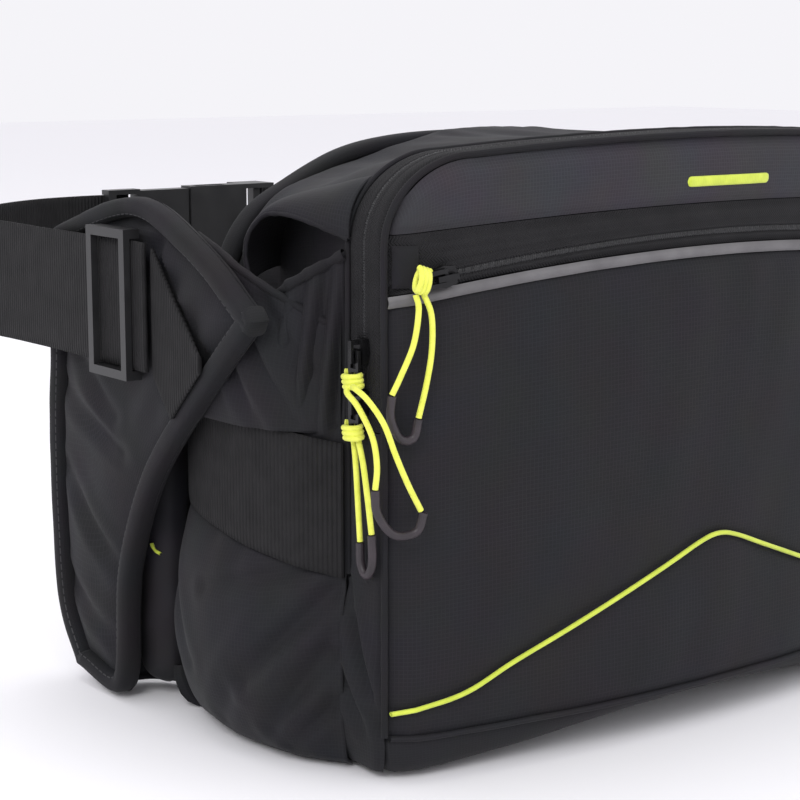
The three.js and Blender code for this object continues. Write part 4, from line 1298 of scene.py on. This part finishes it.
# Wing roots: the cloth that joins each wing to the bag. Outside, it runs forward from the wing's
# tip on to the pouch; inside, a folded web closes the gap between the wing and the back panel.
ROOT_PLAN = ((-46, 149.5), (-40, 155), (-34, 160.3), (-28, 164.4), (-20, 168), (-8, 170.4), (14, 171.2))
ROOT_TOP = ((-46, 166), (-31, 177), (-22, 182), (-5, 190), (14, 197))
ROOT_FOOT = 128
for side, s in SIDES:
    root_rows = []
    for j in range(41):
        row = []
        for i in range(51):
            y = -46 + 60 * i / 50
            z = ROOT_FOOT + (float(np.interp(y, *zip(*ROOT_TOP))) - ROOT_FOOT) * j / 40
            x = float(np.interp(y, *zip(*ROOT_PLAN)))
            rim = min(i / 50, j / 40, 1 - j / 40)
            puff = 1.5 * (1 - math.exp(-rim * 9)) + 1.2 * ripple(0, y, z, 17, 8) * (1 - math.exp(-rim * 12))
            for fold in (((-33, 132), (-8, 180), 3.0, 2.6), ((-20, 130), (6, 172), 3.2, 2.0),
                         ((-38, 150), (-24, 176), 2.6, 1.8)):
                puff += crease(y, z, *fold)
            row.append((s * (x + puff - 1.2 * math.exp(-i / 2.0)), y, z))
        root_rows.append(row)
    root = grid_cloth(f"wing_root_cloth_{side}", root_rows, shell_cloth, thick=0.8)
    part(root, "pack", "shell_fabric")
    root_hem = rolled_seam(f"wing_root_hem_{side}", [Vector(p) for p in root_rows[-1]], 1.6, binding_cloth,
                           lambda i, s=s: (s, 0, 0), 0.2)
    part(root_hem, "pack", "binding_tape")
    web_rows = []
    for j in range(61):
        z = 3 + 185 * j / 60
        foot = float(np.interp(z, [5, 56, 98, 133], [72, 64, 42, 20]))
        meet = max(foot + 14, 76)
        wing_side = wing_x(meet) + 0.6, meet + 4, z
        row = []
        for i, p in enumerate(smooth_line([(139, 63, z), (151, 84, z), (161, 90, z), wing_side], 25)):
            x = p.x + 0.9 * ripple(i / 4, 0, z, 20, 4)
            row.append((s * x, p.y + 1.4 * ripple(0, i / 3, z, 16, 2), z))
        web_rows.append(row)
    web = grid_cloth(f"wing_web_cloth_{side}", web_rows, shell_cloth, thick=0.8)
    part(web, "pack", "shell_fabric")
    web_hem = rolled_seam(f"wing_web_hem_{side}", [Vector(p) for p in web_rows[0]], 1.5, binding_cloth,
                          lambda i: (0, 0, 1), 0.2)
    part(web_hem, "pack", "binding_tape")

# Belt webbing: 50 mm webbing runs on from each wing round to the buckle behind the wearer,
# level all the way and a little uneven along its edges.
BELT_LOW = 143
LEFT_BELT = [(169.3, 34), (168.5, 46), (168, 60), (168, 100), (168, 150), (168, 178), (158, 208),
             (137, 230), (112, 245), (92, 250.5), (60, 251.5)]
RIGHT_BELT = [(169.3, 34), (168.5, 46), (168, 60), (168, 100), (168, 150), (168, 178), (160, 206),
              (142, 230), (118, 248), (96, 255), (80, 256.2), (22, 256.2)]
for side, s, route in (("left", -1, LEFT_BELT), ("right", 1, RIGHT_BELT)):
    plan = smooth_line([(s * x, y, 0) for x, y in route], 200)
    outs = [Vector((s * along(plan, i).y, -s * along(plan, i).x, 0)) for i in range(200)]
    spots = [p + out * 13.2 for p, out in zip(plan, outs)]
    ribbon(f"belt_band_{side}", spots, lambda i, outs=outs: outs[i],
           lambda i: BELT_LOW + 0.5 * ripple(i / 9, 0, 0, 4, 2),
           lambda i: BELT_LOW + WEB_WIDE + 0.5 * ripple(i / 9, 5, 0, 4, 2),
           "pack", 1.5, f"belt_webbing_{side}", steps=16)

# Hard parts: the adjusters and the two halves of the buckle are black acetal mouldings with
# softly rounded edges; the zip sliders and their pull tabs are black lacquered metal.
def moulded(name, dark, light, rough, metal, grain_size):
    paint, nodes, links, shader = new_material(name, dark, rough, metal)
    cloud = wire_tint(nodes, links, shader, dark, light, grain_size)
    uneven = nodes.new("ShaderNodeMapRange")
    uneven.inputs["To Min"].default_value = rough - 0.06
    uneven.inputs["To Max"].default_value = rough + 0.08
    links.new(cloud.outputs["Fac"], uneven.inputs["Value"])
    links.new(uneven.outputs["Result"], shader.inputs["Roughness"])
    skin = texture(nodes, links, "Noise", "Object", scale=1900)
    wire_bump(nodes, links, shader, skin.outputs["Fac"], 0.00006, 0.35)
    return paint


acetal = moulded("buckle_plastic", (0.012, 0.012, 0.013), (0.020, 0.020, 0.021), 0.38, 0.0, 0.012)
lacquer = moulded("slider_metal", (0.010, 0.010, 0.011), (0.018, 0.018, 0.019), 0.24, 0.6, 0.004)
MOULDED_EDGES = {"buckle_socket": 1.3, "buckle_plug": 1.3, "buckle_prong_upper": 0.8,
                 "buckle_prong_lower": 0.8, "adjuster_left": 0.9, "adjuster_right": 0.9}
METAL_EDGES = {"main_upper_slider": 0.4, "main_upper_pull": 0.25, "main_lower_slider": 0.4,
               "main_lower_pull": 0.25, "pocket_slider": 0.4, "pocket_pull": 0.25}
for name, edge in (MOULDED_EDGES | METAL_EDGES).items():
    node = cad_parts[name]
    node.data.materials.clear()
    node.data.materials.append(acetal if name in MOULDED_EDGES else lacquer)
    rounding = node.modifiers.new("soft_edges", "BEVEL")
    rounding.width = edge * MM
    rounding.segments = 3
    rounding.limit_method = "ANGLE"
    rounding.angle_limit = math.radians(35)
